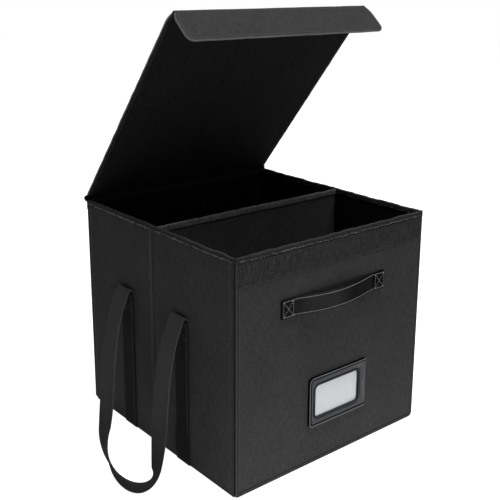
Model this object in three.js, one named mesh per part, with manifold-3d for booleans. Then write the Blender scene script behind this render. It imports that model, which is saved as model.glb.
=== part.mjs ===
// A soft-sided record storage box: fabric-covered boards sewn at welted edges, with a crease down each
// side, a bound rim, a lid on a turned-fabric hinge with a folding front lip, webbing carrying loops,
// a front pull strap, a slide-in label, a loose base board and a lift-out divider.
// Millimetres. +X is right seen from the front, the front faces -Y, +Z is up.
// The origin is the middle of the underside. The lid stands part open.

import * as THREE from 'three';
import { mergeVertices } from 'three/addons/utils/BufferGeometryUtils.js';
import Module from 'manifold-3d';

const wasm = await Module();
wasm.setup();

// Whole box
const caseWidth = 350;
const caseDepth = 360;
const caseHeight = 330;
const boardThickness = 4;
const seat = 0.3; // left between pieces that lie against each other
const overrun = 2; // how far a cutting block runs past the face that it opens
const arcSteps = 5;

// Welts sewn round the front and back panels
const weltWidth = 4;
const weltRound = 0.9;
const cornerRadius = 7;

// Side walls, each in two halves with a soft crease between
const sideFootRound = 3;
const creaseY = 3;
const creaseWidth = 7;
const creaseSkin = 1.2;
const creaseDip = 1;

// Bound rim
const rimTape = 0.7;
const rimFlange = 9;
const rimRound = 0.6;

// Hook and loop fastener tapes
const fastenerWidth = 25;
const fastenerPile = 0.8;
const fastenerDrop = 15; // from the rim down to the tape's upper edge
const fastenerInset = 5; // from the side of the box to the tape's end
const fastenerGap = 0.4; // between the two tapes when the lid is shut

// Lid and lip boards
const lidWidth = 350;
const lidBoard = 2;
const liningSkin = 0.5;
const edgeTape = 0.5;
const edgeFlange = 6;
const lidRimClearance = 0.6;
const lidBackClearance = 0.5;
const lipLength = 51;
const lipCornerRadius = 11;
const lidOpening = THREE.MathUtils.degToRad(50.5); // from shut to the angle it is left at
const lipFold = THREE.MathUtils.degToRad(92); // from flat with the lid to turned down
const lipLean = lipFold - Math.PI / 2;

// Turned-fabric hinges, as a rolled fold with a flap that swings round it
const rollRadius = 1.2;
const webSkin = 0.8;
const flapSkin = 1;
const hingeFlapLength = 6.5;
const foldFlapLength = 4;
const hingeTab = 12;
const rollSides = 12;

// Webbing: the straps sewn to the sides and the loops that hang from them
const webbingWidth = 32;
const webbingThickness = 1.4;
const strapFoot = 2; // from the floor to the sewn strap's lower end
const eyeRadius = 4; // outside of the fold where a loop leaves its strap
const eyeSteps = 8;
const eyeHeight = 218;
const loopSpacing = 136; // between the middles of a loop's two legs
const loopMiddleY = 3;
const loopLeg = 185; // down the loop's slope, from the fold to the bottom curve
const loopBottomShare = 0.59; // of half the spacing, how deep the bottom curve is
const loopLean = THREE.MathUtils.degToRad(23.7);
const loopNarrowingShare = 0.05; // how much the loop draws in towards its bottom
const leftLoopSlump = 68; // how far the left loop's bottom has slumped towards the front
const rightLoopSlump = 0;
const slumpPowerShare = 1.22;
const turnStartShare = 0.82; // of the back leg, where the webbing begins its half turn
const turnEndShare = 0.69; // of the front leg, where the half turn is complete
const loopLegSteps = 14;
const loopBottomSteps = 26;

// Front pull strap
const pullMiddleX = -3.5;
const pullDrop = 85; // from the rim down to the strap's middle
const pullLength = 194;
const pullHeight = 26;
const pullThickness = 2.4;
const pullTab = 22;
const pullTabThickness = 3.6;
const pullBow = 10;
const pullSag = 2;
const pullSteps = 24;

// Label holder
const labelX = 7;
const labelZ = 95;
const labelWidth = 110;
const labelHeight = 74;
const labelRound = 7;
const labelSquareRound = 2;
const labelRail = 7;
const labelPocket = 1.8; // room behind the window for the film and the card
const labelPlate = 1.2;
const labelRimWidth = 3;
const labelRimHeight = 1.5;
const labelRingWidth = 2.6;
const labelRingHeight = 0.9;
const windowWidth = 82;
const windowHeight = 46;
const windowRound = 5;
const labelNubWidth = 2.4;
const labelNubHeight = 9;
const filmThickness = 0.3;
const cardThickness = 0.4;
const cardClearance = 0.5;
const cardShort = 4; // how far the card's end stays inside the holder's open end

// Loose boards inside
const insertThickness = 3;
const insertClearance = 1.5; // each side, which also clears the rim's binding
const dividerThickness = 3;
const dividerY = -3;
const dividerTape = 0.7;
const dividerFlange = 8;
const dividerBelowRim = 1;

// Worked out from the sizes above
const halfWidth = caseWidth / 2;
const halfDepth = caseDepth / 2;
const panelTop = caseHeight - rimTape - seat;
const lidThickness = lidBoard + seat + liningSkin;
const edgeReach = seat + edgeTape; // of a bound edge past its board
const hingeY = halfDepth + lidBackClearance + edgeReach + lidThickness / 2;
const hingeZ = caseHeight + lidRimClearance + edgeReach + lidThickness / 2;
const shutReach =
  2 * (seat + fastenerPile) + fastenerGap + lidThickness / 2 + lipLength * Math.sin(lipLean);
const foldDistance = hingeY + halfDepth + shutReach;
const pullMiddleZ = caseHeight - pullDrop;
const eyeX = halfWidth + seat + eyeRadius;

const materials = {
  cover: new THREE.MeshStandardMaterial({ name: 'cover', color: 0x2c2c2e, roughness: 0.9 }),
  lining: new THREE.MeshStandardMaterial({ name: 'lining', color: 0x141415, roughness: 0.95 }),
  binding: new THREE.MeshStandardMaterial({ name: 'binding', color: 0x1d1d1f, roughness: 0.85 }),
  pile: new THREE.MeshStandardMaterial({ name: 'pile', color: 0x232325, roughness: 1 }),
  webbing: new THREE.MeshStandardMaterial({ name: 'webbing', color: 0x262627, roughness: 0.8 }),
  strap: new THREE.MeshStandardMaterial({ name: 'strap', color: 0x161616, roughness: 0.35 }),
  holder: new THREE.MeshStandardMaterial({ name: 'holder', color: 0x4b4c4e, roughness: 0.45 }),
  card: new THREE.MeshStandardMaterial({ name: 'card', color: 0xdcdde0, roughness: 0.8 }),
  film: new THREE.MeshStandardMaterial({
    name: 'film', color: 0xffffff, roughness: 0.1, transparent: true, opacity: 0.2,
  }),
};

const xAxis = new THREE.Vector3(1, 0, 0);
const yAxis = new THREE.Vector3(0, 1, 0);
const zAxis = new THREE.Vector3(0, 0, 1);
const frontward = new THREE.Vector3(0, -1, 0);

function place(name, geometry, material, parent) {
  const mesh = new THREE.Mesh(geometry, material);
  mesh.name = name;
  parent.add(mesh);
  return mesh;
}

function block([x0, x1], [y0, y1], [z0, z1]) {
  const box = new THREE.BoxGeometry(x1 - x0, y1 - y0, z1 - z0);
  return box.translate((x0 + x1) / 2, (y0 + y1) / 2, (z0 + z1) / 2);
}

function toSolid(geometry) {
  const bare = new THREE.BufferGeometry();
  bare.setAttribute('position', geometry.getAttribute('position'));
  if (geometry.index) bare.setIndex(geometry.index);
  const merged = mergeVertices(bare);
  return new wasm.Manifold(new wasm.Mesh({
    numProp: 3,
    vertProperties: new Float32Array(merged.getAttribute('position').array),
    triVerts: new Uint32Array(merged.index.array),
  }));
}

function toGeometry(solid) {
  const mesh = solid.getMesh();
  const geometry = new THREE.BufferGeometry();
  geometry.setAttribute('position', new THREE.BufferAttribute(new Float32Array(mesh.vertProperties), 3));
  geometry.setIndex(Array.from(mesh.triVerts));
  geometry.computeVertexNormals();
  return geometry;
}

function join(...geometries) {
  return toGeometry(geometries.map(toSolid).reduce((whole, next) => whole.add(next)));
}

function cut(geometry, ...tools) {
  return toGeometry(tools.map(toSolid).reduce((whole, tool) => whole.subtract(tool), toSolid(geometry)));
}

// Extrudes a shape drawn in the axes across and up, from start, for depth along their normal
function extrude(shape, depth, across, up, start, bevel = 0) {
  const geometry = new THREE.ExtrudeGeometry(shape, {
    depth: depth - 2 * bevel,
    curveSegments: arcSteps,
    bevelEnabled: bevel > 0,
    bevelThickness: bevel,
    bevelSize: bevel,
    bevelOffset: -bevel,
    bevelSegments: 2,
  });
  geometry.translate(0, 0, bevel);
  const normal = new THREE.Vector3().crossVectors(across, up);
  geometry.applyMatrix4(new THREE.Matrix4().makeBasis(across, up, normal));
  return geometry.translate(start.x, start.y, start.z);
}

// Standing plate drawn in x and z whose front face is at y
const facing = (shape, y, depth, bevel) =>
  extrude(shape, depth, xAxis, zAxis, new THREE.Vector3(0, y + depth, 0), bevel);

// Bar with a section drawn in x and z, running from y for a length
const alongY = (shape, y, length) =>
  extrude(shape, length, xAxis, zAxis, new THREE.Vector3(0, y + length, 0));

// Flat plate drawn in x and y whose underside is at z
const lying = (shape, z, depth) => extrude(shape, depth, xAxis, yAxis, new THREE.Vector3(0, 0, z));

function outline(points) {
  return new THREE.Shape(points.map(([a, b]) => new THREE.Vector2(a, b)));
}

// Upright outline with its two lower corners rounded
function tubShape(half, low, high, radius) {
  const shape = new THREE.Shape();
  shape.moveTo(-half, high);
  shape.lineTo(-half, low + radius);
  shape.absarc(-half + radius, low + radius, radius, Math.PI, 1.5 * Math.PI, false);
  shape.lineTo(half - radius, low);
  shape.absarc(half - radius, low + radius, radius, 1.5 * Math.PI, 2 * Math.PI, false);
  shape.lineTo(half, high);
  return shape;
}

// The band of a given width just inside a tub outline, open at the top
function tubBand(half, low, high, radius, width) {
  const inner = Math.max(radius - width, width / 4);
  const shape = tubShape(half, low, high, radius);
  const side = half - width;
  const floor = low + width;
  shape.lineTo(side, high);
  shape.lineTo(side, floor + inner);
  shape.absarc(side - inner, floor + inner, inner, 2 * Math.PI, 1.5 * Math.PI, true);
  shape.lineTo(-side + inner, floor);
  shape.absarc(-side + inner, floor + inner, inner, 1.5 * Math.PI, Math.PI, true);
  shape.lineTo(-side, high);
  return shape;
}

function roundedRectangle(x0, x1, z0, z1, leftRadius, rightRadius) {
  const shape = new THREE.Shape();
  shape.moveTo(x0 + leftRadius, z0);
  shape.lineTo(x1 - rightRadius, z0);
  shape.absarc(x1 - rightRadius, z0 + rightRadius, rightRadius, 1.5 * Math.PI, 2 * Math.PI, false);
  shape.lineTo(x1, z1 - rightRadius);
  shape.absarc(x1 - rightRadius, z1 - rightRadius, rightRadius, 0, 0.5 * Math.PI, false);
  shape.lineTo(x0 + leftRadius, z1);
  shape.absarc(x0 + leftRadius, z1 - leftRadius, leftRadius, 0.5 * Math.PI, Math.PI, false);
  shape.lineTo(x0, z0 + leftRadius);
  shape.absarc(x0 + leftRadius, z0 + leftRadius, leftRadius, Math.PI, 1.5 * Math.PI, false);
  return shape;
}

// A closed strip through stations, each with a middle, a direction across, one outward and half sizes
function sweptStrip(stations) {
  const corners = [[-1, -1], [1, -1], [1, 1], [-1, 1]];
  const positions = [];
  for (const { middle, across, outward, halfWide, halfThick } of stations) {
    for (const [a, o] of corners) {
      const point = middle.clone().addScaledVector(across, a * halfWide);
      positions.push(...point.addScaledVector(outward, o * halfThick).toArray());
    }
  }
  const index = [0, 2, 1, 0, 3, 2];
  const last = 4 * (stations.length - 1);
  for (let s = 0; s < last; s += 4) {
    for (let c = 0; c < 4; c += 1) {
      const next = (c + 1) % 4;
      index.push(s + c, s + next, s + 4 + next, s + c, s + 4 + next, s + 4 + c);
    }
  }
  index.push(last, last + 1, last + 2, last, last + 2, last + 3);
  const geometry = new THREE.BufferGeometry();
  geometry.setAttribute('position', new THREE.Float32BufferAttribute(positions, 3));
  geometry.setIndex(index);
  geometry.computeVertexNormals();
  return geometry;
}

// Turns a path of middles and wished outward directions into stations for a strip;
// a station marked as level lies across along Y
function stationsAlong(path, halfWide, halfThick) {
  return path.map(({ middle, outward, thick = halfThick, level }, i) => {
    const before = path[Math.max(i - 1, 0)].middle;
    const after = path[Math.min(i + 1, path.length - 1)].middle;
    const along = new THREE.Vector3().subVectors(after, before).normalize();
    const out = outward.clone().addScaledVector(along, -outward.dot(along)).normalize();
    const across = new THREE.Vector3().crossVectors(out, along);
    if (level) across.set(0, Math.sign(across.y), 0);
    return { middle, across, outward: out, halfWide, halfThick: thick };
  });
}

const smooth = (share) => {
  const s = THREE.MathUtils.clamp(share, 0, 1);
  return s * s * (3 - 2 * s);
};

// Front and back: a board inside a welt that follows its edge
function facePanel(name, faceY, parent) {
  const inset = weltWidth + seat;
  const board = tubShape(halfWidth - inset, inset, panelTop, Math.max(cornerRadius - inset, seat));
  const welt = tubBand(halfWidth, 0, panelTop, cornerRadius, weltWidth);
  place(`${name}_panel`, facing(board, faceY, boardThickness), materials.cover, parent);
  place(`${name}_welt`, facing(welt, faceY, weltWidth, weltRound), materials.binding, parent);
}

// A side wall's two boards, hinged by a soft crease that dips inward
function sideWall(name, side, parent) {
  const outer = side * halfWidth;
  const inner = side * (halfWidth - boardThickness);
  const section = new THREE.Shape();
  section.moveTo(inner, 0);
  section.lineTo(outer - side * sideFootRound, 0);
  section.absarc(
    outer - side * sideFootRound, sideFootRound, sideFootRound,
    1.5 * Math.PI, side > 0 ? 2 * Math.PI : Math.PI, side < 0,
  );
  section.lineTo(outer, panelTop);
  section.lineTo(inner, panelTop);
  const front = -halfDepth + weltWidth + seat;
  const back = halfDepth - weltWidth - seat;
  const creaseFront = creaseY - creaseWidth / 2;
  const creaseBack = creaseY + creaseWidth / 2;
  place(`${name}_front_board`, alongY(section, front, creaseFront - front), materials.cover, parent);
  place(`${name}_back_board`, alongY(section, creaseBack, back - creaseBack), materials.cover, parent);

  const skin = side * creaseSkin;
  const dip = side * creaseDip;
  const crease = outline([
    [outer, creaseFront + seat], [outer - dip, creaseY], [outer, creaseBack - seat],
    [outer - skin, creaseBack - seat], [outer - skin - dip, creaseY], [outer - skin, creaseFront + seat],
  ]);
  place(`${name}_crease`, lying(crease, 0, panelTop), materials.binding, parent);
}

function basePanel(parent) {
  const x = halfWidth - boardThickness - seat;
  const y = halfDepth - weltWidth - seat;
  place('base_panel', block([-x, x], [-y, y], [0, boardThickness]), materials.cover, parent);
}

// Binding folded over the top of a wall, mitred at the corners; outward is from the box's middle
function rimRail(name, length, distance, outward, wraps, parent) {
  const inside = boardThickness / 2 + seat;
  const outside = inside + rimTape;
  const section = new THREE.Shape();
  section.moveTo(-outside, -rimFlange);
  section.lineTo(-inside, -rimFlange);
  section.lineTo(-inside, -rimTape);
  if (wraps) {
    section.lineTo(inside, -rimTape);
    section.lineTo(inside, -rimFlange);
    section.lineTo(outside, -rimFlange);
    section.lineTo(outside, -rimRound);
    section.absarc(outside - rimRound, -rimRound, rimRound, 0, 0.5 * Math.PI, false);
  } else {
    section.lineTo(boardThickness / 2, -rimTape);
    section.lineTo(boardThickness / 2, 0);
  }
  section.lineTo(-outside + rimRound, 0);
  section.absarc(-outside + rimRound, -rimRound, rimRound, 0.5 * Math.PI, Math.PI, false);
  const rail = new THREE.ExtrudeGeometry(section, { depth: 1, bevelEnabled: false, curveSegments: 2 });

  // the unit depth becomes the rail's length, with each end cut back on the corner's diagonal
  const points = rail.getAttribute('position');
  const along = new THREE.Vector3().crossVectors(outward, zAxis);
  for (let i = 0; i < points.count; i += 1) {
    const offset = points.getX(i);
    const end = points.getZ(i) > 0.5 ? 1 : -1;
    const reach = end * (length / 2 + offset - seat / 2);
    const point = outward.clone().multiplyScalar(distance + offset).addScaledVector(along, reach);
    points.setXYZ(i, point.x, point.y, caseHeight + points.getY(i));
  }
  place(name, rail, materials.binding, parent);
}

function boundRim(parent) {
  const x = halfWidth - boardThickness / 2;
  const y = halfDepth - boardThickness / 2;
  rimRail('rim_binding_front', 2 * x, y, frontward, true, parent);
  rimRail('rim_binding_back', 2 * x, y, yAxis, false, parent);
  rimRail('rim_binding_left', 2 * y, x, xAxis.clone().negate(), true, parent);
  rimRail('rim_binding_right', 2 * y, x, xAxis, true, parent);
}

function loopTape(parent) {
  const x = halfWidth - fastenerInset;
  const top = caseHeight - fastenerDrop;
  const face = -halfDepth - seat;
  const tape = block([-x, x], [face - fastenerPile, face], [top - fastenerWidth, top]);
  place('loop_tape', tape, materials.pile, parent);
}

// Strap sewn flat at both ends, bowed out between so that fingers fit behind it
function pullStrap(parent) {
  const half = pullLength / 2;
  const free = half - pullTab;
  const path = [];
  for (let i = 0; i <= pullSteps; i += 1) {
    const x = -half + (pullLength * i) / pullSteps;
    const rise = Math.abs(x) < free ? Math.cos((0.5 * Math.PI * x) / free) ** 2 : 0;
    const thick = Math.abs(x) < free ? pullThickness : pullTabThickness;
    const y = -halfDepth - seat - thick / 2 - pullBow * rise;
    const middle = new THREE.Vector3(pullMiddleX + x, y, pullMiddleZ - pullSag * rise);
    path.push({ middle, outward: frontward, thick: thick / 2 });
  }
  const strap = sweptStrip(stationsAlong(path, pullHeight / 2, pullThickness / 2));
  place('front_pull_strap', strap, materials.strap, parent);
}

// The label holder: three rails behind a plate with a window, a raised rim and a ring round the window
function labelHolder(parent) {
  const back = -halfDepth - seat;
  const left = labelX - labelWidth / 2;
  const right = labelX + labelWidth / 2;
  const low = labelZ - labelHeight / 2;
  const high = labelZ + labelHeight / 2;
  const plateFace = back - labelPocket - labelPlate;
  const windowX = labelX - labelRingWidth;
  const windowLeft = windowX - windowWidth / 2;
  const windowRight = windowX + windowWidth / 2;
  const windowLow = labelZ - windowHeight / 2;
  const windowHigh = labelZ + windowHeight / 2;

  const whole = roundedRectangle(left, right, low, high, labelRound, labelSquareRound);
  const body = facing(whole, plateFace, labelPocket + labelPlate);
  const pocket = block(
    [left + labelRail, right + overrun],
    [back - labelPocket, back + overrun],
    [low + labelRail, high - labelRail],
  );
  const rimInside = roundedRectangle(
    left + labelRimWidth, right + overrun, low + labelRimWidth, high - labelRimWidth,
    labelRound - labelRimWidth, labelSquareRound,
  );
  const rim = cut(
    facing(whole, plateFace - labelRimHeight, labelRimHeight + labelPlate / 2, seat),
    facing(rimInside, plateFace - labelRimHeight - overrun, labelRimHeight + labelPlate + 2 * overrun),
  );
  const ring = facing(
    roundedRectangle(
      windowLeft - labelRingWidth, windowRight + labelRingWidth,
      windowLow - labelRingWidth, windowHigh + labelRingWidth,
      windowRound + labelRingWidth, windowRound + labelRingWidth,
    ),
    plateFace - labelRingHeight, labelRingHeight + labelPlate / 2, seat,
  );
  const window = facing(
    roundedRectangle(windowLeft, windowRight, windowLow, windowHigh, windowRound, windowRound),
    plateFace - labelRimHeight - overrun, labelPocket + labelPlate + labelRimHeight + 2 * overrun,
  );
  const nubX = (windowRight + labelRingWidth + right) / 2;
  const nub = block(
    [nubX - labelNubWidth / 2, nubX + labelNubWidth / 2],
    [plateFace - labelRingHeight, plateFace + labelPlate / 2],
    [labelZ - labelNubHeight / 2, labelZ + labelNubHeight / 2],
  );
  place('label_holder', cut(join(body, rim, ring, nub), pocket, window), materials.holder, parent);

  const slotLow = low + labelRail + cardClearance;
  const slotHigh = high - labelRail - cardClearance;
  const slotLeft = left + labelRail + cardClearance;
  const filmBack = back - labelPocket + seat + filmThickness;
  const film = block([slotLeft, right - cardShort], [filmBack - filmThickness, filmBack], [slotLow, slotHigh]);
  place('label_window', film, materials.film, parent);

  const cardBack = filmBack + seat + cardThickness;
  const card = block([slotLeft, right - cardShort], [cardBack - cardThickness, cardBack], [slotLow, slotHigh]);
  place('label_card', card, materials.card, parent);
}

// Webbing sewn flat up a side, its top cut back to clear the fold that its loop swings on
function faceStraps(name, side, parent) {
  const clear = eyeRadius + seat;
  const inner = side * (halfWidth + seat);
  const outer = inner + side * webbingThickness;
  const section = outline([
    [inner, strapFoot],
    [outer, strapFoot],
    [outer, eyeHeight - Math.sqrt(clear ** 2 - (eyeRadius - webbingThickness) ** 2)],
    [inner, eyeHeight - Math.sqrt(clear ** 2 - eyeRadius ** 2)],
  ]);
  const places = { front: loopMiddleY - loopSpacing / 2, back: loopMiddleY + loopSpacing / 2 };
  for (const [end, y] of Object.entries(places)) {
    const strap = alongY(section, y - webbingWidth / 2, webbingWidth);
    place(`${name}_face_strap_${end}`, strap, materials.webbing, parent);
  }
}

// A loop of webbing. Each leg folds over at the top and leans out, and the webbing makes half a turn
// on its way round the bottom; slumped, it is carried to the front more and more with depth.
function carryLoop(name, side, slump, parent) {
  const down = new THREE.Vector3(side * Math.sin(loopLean), 0, -Math.cos(loopLean));
  const outward = new THREE.Vector3(side * Math.cos(loopLean), 0, Math.sin(loopLean));
  const eye = new THREE.Vector3(side * eyeX, loopMiddleY, eyeHeight);
  const foldRadius = eyeRadius - webbingThickness / 2;
  const half = loopSpacing / 2;
  const depth = loopBottomShare * half;
  const whole = 2 * loopLeg + Math.PI * half;
  const foldEnd = Math.PI - loopLean;

  const fold = (end) => Array.from({ length: eyeSteps }, (_, i) => {
    const angle = (foldEnd * i) / eyeSteps;
    const radial = new THREE.Vector3(-side * Math.cos(angle), 0, Math.sin(angle));
    const middle = eye.clone().addScaledVector(yAxis, end * half).addScaledVector(radial, foldRadius);
    return { middle, outward: radial.multiplyScalar(end), level: true };
  });

  const top = eye.clone().addScaledVector(outward, foldRadius);
  const hang = (across, drop, length, radial) => {
    const carried = smooth((drop / (loopLeg + depth)) ** slumpPowerShare);
    const y = across * (1 - loopNarrowingShare * carried) - slump * carried;
    const middle = top.clone().addScaledVector(yAxis, y).addScaledVector(down, drop);
    const start = turnStartShare * loopLeg;
    const turn = Math.PI * smooth((length - start) / (whole - turnEndShare * loopLeg - start));
    const facingOut = outward.clone().multiplyScalar(Math.cos(turn)).addScaledVector(radial, Math.sin(turn));
    return { middle, outward: facingOut, level: drop === 0 };
  };
  const leg = (end) => Array.from({ length: loopLegSteps }, (_, i) => {
    const drop = (loopLeg * i) / loopLegSteps;
    return hang(end * half, drop, end > 0 ? drop : whole - drop, yAxis.clone().multiplyScalar(end));
  });
  const bottom = Array.from({ length: loopBottomSteps + 1 }, (_, i) => {
    const angle = (Math.PI * i) / loopBottomSteps;
    const radial = yAxis.clone().multiplyScalar(Math.cos(angle) * depth);
    radial.addScaledVector(down, Math.sin(angle) * half).normalize();
    return hang(half * Math.cos(angle), loopLeg + depth * Math.sin(angle), loopLeg + half * angle, radial);
  });

  const path = [...fold(1), ...leg(1), ...bottom, ...leg(-1).reverse(), ...fold(-1).reverse()];
  const webbing = sweptStrip(stationsAlong(path, webbingWidth / 2, webbingThickness / 2));
  place(`${name}_carry_loop`, webbing, materials.webbing, parent);
}

function looseBoards(parent) {
  const x = halfWidth - boardThickness - insertClearance;
  const y = halfDepth - boardThickness - insertClearance;
  const insertLow = boardThickness + seat;
  const insertHigh = insertLow + insertThickness;
  place('base_insert', block([-x, x], [-y, y], [insertLow, insertHigh]), materials.lining, parent);

  const half = dividerThickness / 2;
  const top = caseHeight - dividerBelowRim;
  const board = block([-x, x], [dividerY - half, dividerY + half], [insertHigh + seat, top - dividerTape - seat]);
  place('divider_panel', board, materials.cover, parent);

  const inside = half + seat;
  const wrap = block(
    [-x, x], [dividerY - inside - dividerTape, dividerY + inside + dividerTape], [top - dividerFlange, top],
  );
  const slot = block(
    [-x - overrun, x + overrun], [dividerY - inside, dividerY + inside],
    [top - dividerFlange - overrun, top - dividerTape],
  );
  place('divider_binding', cut(wrap, slot), materials.binding, parent);
}

// A roll of turned fabric lying along x
function fabricRoll(length) {
  return new THREE.CylinderGeometry(rollRadius, rollRadius, length, rollSides).rotateZ(0.5 * Math.PI);
}

// The cover runs up the back panel and over into the roll that the lid swings on
function lidHingeStrip(parent) {
  const length = lidWidth - 2 * edgeReach;
  const tabBack = halfDepth + seat + webSkin;
  const tab = block(
    [-length / 2, length / 2], [halfDepth + seat, tabBack], [caseHeight - hingeTab, caseHeight + seat],
  );
  const foot = new THREE.Vector2(tabBack - webSkin / 2, caseHeight);
  const run = new THREE.Vector2(hingeY, hingeZ).sub(foot);
  const web = block([-length / 2, length / 2], [0, run.length()], [-webSkin / 2, webSkin / 2]);
  web.rotateX(run.angle()).translate(0, foot.x, foot.y);
  const roll = fabricRoll(length).translate(0, hingeY, hingeZ);
  place('lid_hinge_strip', join(tab, web, roll), materials.binding, parent);
}

// Lid, in a group whose origin is its hinge; shut, it reaches along -y with its upper side at +z
function lid(parent) {
  const half = lidWidth / 2 - edgeReach;
  const boardBack = -hingeFlapLength - seat;
  const boardFront = -(foldDistance - foldFlapLength);
  const under = -lidThickness / 2;
  const over = lidThickness / 2;
  const flap = block(
    [-half, half], [-hingeFlapLength, -rollRadius - seat], [-flapSkin / 2, flapSkin / 2],
  );
  place('lid_hinge_flap', flap, materials.binding, parent);
  const board = block([-half, half], [boardFront, boardBack], [over - lidBoard, over]);
  place('lid_panel', board, materials.cover, parent);
  const lining = block([-half, half], [boardFront, boardBack], [under, under + liningSkin]);
  place('lid_lining', lining, materials.lining, parent);

  for (const [name, side] of [['left', -1], ['right', 1]]) {
    const edge = side * (lidWidth / 2);
    const flangeEnd = edge - side * edgeFlange;
    const cover = edge - side * edgeTape;
    const wrap = block(
      [Math.min(edge, flangeEnd), Math.max(edge, flangeEnd)],
      [boardFront, boardBack], [under - edgeReach, over + edgeReach],
    );
    const past = flangeEnd - side * overrun;
    const slot = block(
      [Math.min(cover, past), Math.max(cover, past)],
      [boardFront - overrun, boardBack + overrun], [under - seat, over + seat],
    );
    place(`lid_binding_${name}`, cut(wrap, slot), materials.binding, parent);
  }

  const web = block([-half, half], [0, foldFlapLength - seat], [-webSkin / 2, webSkin / 2]);
  const fold = join(fabricRoll(2 * half), web).translate(0, -foldDistance, 0);
  place('lid_front_fold', fold, materials.binding, parent);
}

// Lip, in a group whose origin is the fold; flat, it carries on along -y from the lid
function lip(parent) {
  const half = lidWidth / 2 - edgeReach;
  const start = foldFlapLength + seat;
  const end = lipLength - edgeReach;
  const under = -lidThickness / 2;
  const over = lidThickness / 2;
  const radius = lipCornerRadius - edgeReach;
  place('lip_fold_flap', block(
    [-half, half], [-foldFlapLength, -rollRadius - seat], [-flapSkin / 2, flapSkin / 2],
  ), materials.binding, parent);
  const board = tubShape(half, -end, -start, radius);
  place('lip_panel', lying(board, over - lidBoard, lidBoard), materials.cover, parent);
  place('lip_lining', lying(board, under, liningSkin), materials.lining, parent);

  const band = tubBand(lidWidth / 2, -lipLength, -start, lipCornerRadius, edgeFlange);
  const wrap = lying(band, under - edgeReach, lidThickness + 2 * edgeReach);
  const room = tubShape(half + seat, -end - seat, overrun, radius + seat);
  const slot = lying(room, under - seat, lidThickness + 2 * seat);
  place('lip_binding', cut(wrap, slot), materials.binding, parent);

  // the hook tape meets the tape on the front panel when the lid is shut
  const tapeStart = hingeZ - (caseHeight - fastenerDrop);
  const tapeHalf = halfWidth - fastenerInset - edgeFlange;
  const tapeFace = under - seat;
  place('hook_tape', block(
    [-tapeHalf, tapeHalf], [-tapeStart - fastenerWidth, -tapeStart], [tapeFace - fastenerPile, tapeFace],
  ), materials.pile, parent);
}

const recordBox = new THREE.Group();
facePanel('front', -halfDepth, recordBox);
facePanel('back', halfDepth - boardThickness, recordBox);
sideWall('left', -1, recordBox);
sideWall('right', 1, recordBox);
basePanel(recordBox);
boundRim(recordBox);
loopTape(recordBox);
pullStrap(recordBox);
labelHolder(recordBox);
faceStraps('left', -1, recordBox);
faceStraps('right', 1, recordBox);
carryLoop('left', -1, leftLoopSlump, recordBox);
carryLoop('right', 1, rightLoopSlump, recordBox);
looseBoards(recordBox);
lidHingeStrip(recordBox);

const lidGroup = new THREE.Group();
lidGroup.position.set(0, hingeY, hingeZ);
lidGroup.rotation.x = -lidOpening;
lid(lidGroup);
recordBox.add(lidGroup);

const lipGroup = new THREE.Group();
lipGroup.position.set(0, -foldDistance, 0);
lipGroup.rotation.x = lipFold;
lip(lipGroup);
lidGroup.add(lipGroup);

export default recordBox;
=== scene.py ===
# %% [markdown]
# A soft-sided record storage box: stiff boards covered in black woven cloth, a lid that hangs on a strip
# of turned cloth, webbing loops to carry it by, a glossy pull strap and a plastic label holder.
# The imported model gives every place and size. Each cell below dresses one part of it.

# %% Load the frame
import math
from bisect import bisect_right
from contextlib import contextmanager

import bmesh
import bpy
from mathutils import Matrix, Vector, noise


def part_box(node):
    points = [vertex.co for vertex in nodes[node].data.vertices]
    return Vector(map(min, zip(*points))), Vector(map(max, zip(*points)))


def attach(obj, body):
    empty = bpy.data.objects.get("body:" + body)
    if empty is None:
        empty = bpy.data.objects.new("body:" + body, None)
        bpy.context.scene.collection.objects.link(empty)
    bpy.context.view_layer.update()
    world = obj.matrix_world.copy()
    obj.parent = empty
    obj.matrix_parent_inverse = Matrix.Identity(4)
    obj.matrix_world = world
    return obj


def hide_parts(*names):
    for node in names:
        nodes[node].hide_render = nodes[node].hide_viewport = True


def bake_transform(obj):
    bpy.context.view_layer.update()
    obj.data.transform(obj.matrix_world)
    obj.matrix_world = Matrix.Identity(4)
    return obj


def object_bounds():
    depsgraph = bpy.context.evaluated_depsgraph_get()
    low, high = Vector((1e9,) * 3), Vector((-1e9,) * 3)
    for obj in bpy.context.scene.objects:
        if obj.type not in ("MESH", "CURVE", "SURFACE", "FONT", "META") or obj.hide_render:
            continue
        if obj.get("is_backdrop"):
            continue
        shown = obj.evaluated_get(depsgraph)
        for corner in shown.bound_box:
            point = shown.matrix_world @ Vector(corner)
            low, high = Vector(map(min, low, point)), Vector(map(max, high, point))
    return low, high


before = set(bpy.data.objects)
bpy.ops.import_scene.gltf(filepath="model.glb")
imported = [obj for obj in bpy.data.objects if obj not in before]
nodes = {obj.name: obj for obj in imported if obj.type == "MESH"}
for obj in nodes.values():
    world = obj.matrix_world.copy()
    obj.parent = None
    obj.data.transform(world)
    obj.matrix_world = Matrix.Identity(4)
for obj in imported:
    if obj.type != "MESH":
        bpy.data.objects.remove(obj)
cad_low, cad_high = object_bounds()
# every length is in metres, and the short ones are written in millimetres
MM = 0.001
print("frame", len(nodes), "nodes", [round(v, 4) for v in cad_low], [round(v, 4) for v in cad_high])

# %% [markdown]
# The camera stands to the front left of the box and a little above its rim, turned 40 degrees. It could
# be aimed at a target, but three angles say exactly how it stands, with its slight roll. The lens and the
# shift put the box where the photograph has it.

# %% Camera
CAMERA_PLACE = (-0.790622, -0.958678, 0.666865)
YAW, PITCH, ROLL = 0.704391, -0.257605, 0.0088983
IMAGE_WIDTH, FOCAL_PIXELS, SENSOR_WIDTH = 500, 866.712, 36
SHIFT = (-0.0287, -0.102)
CLIP = (0.05, 60)


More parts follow.
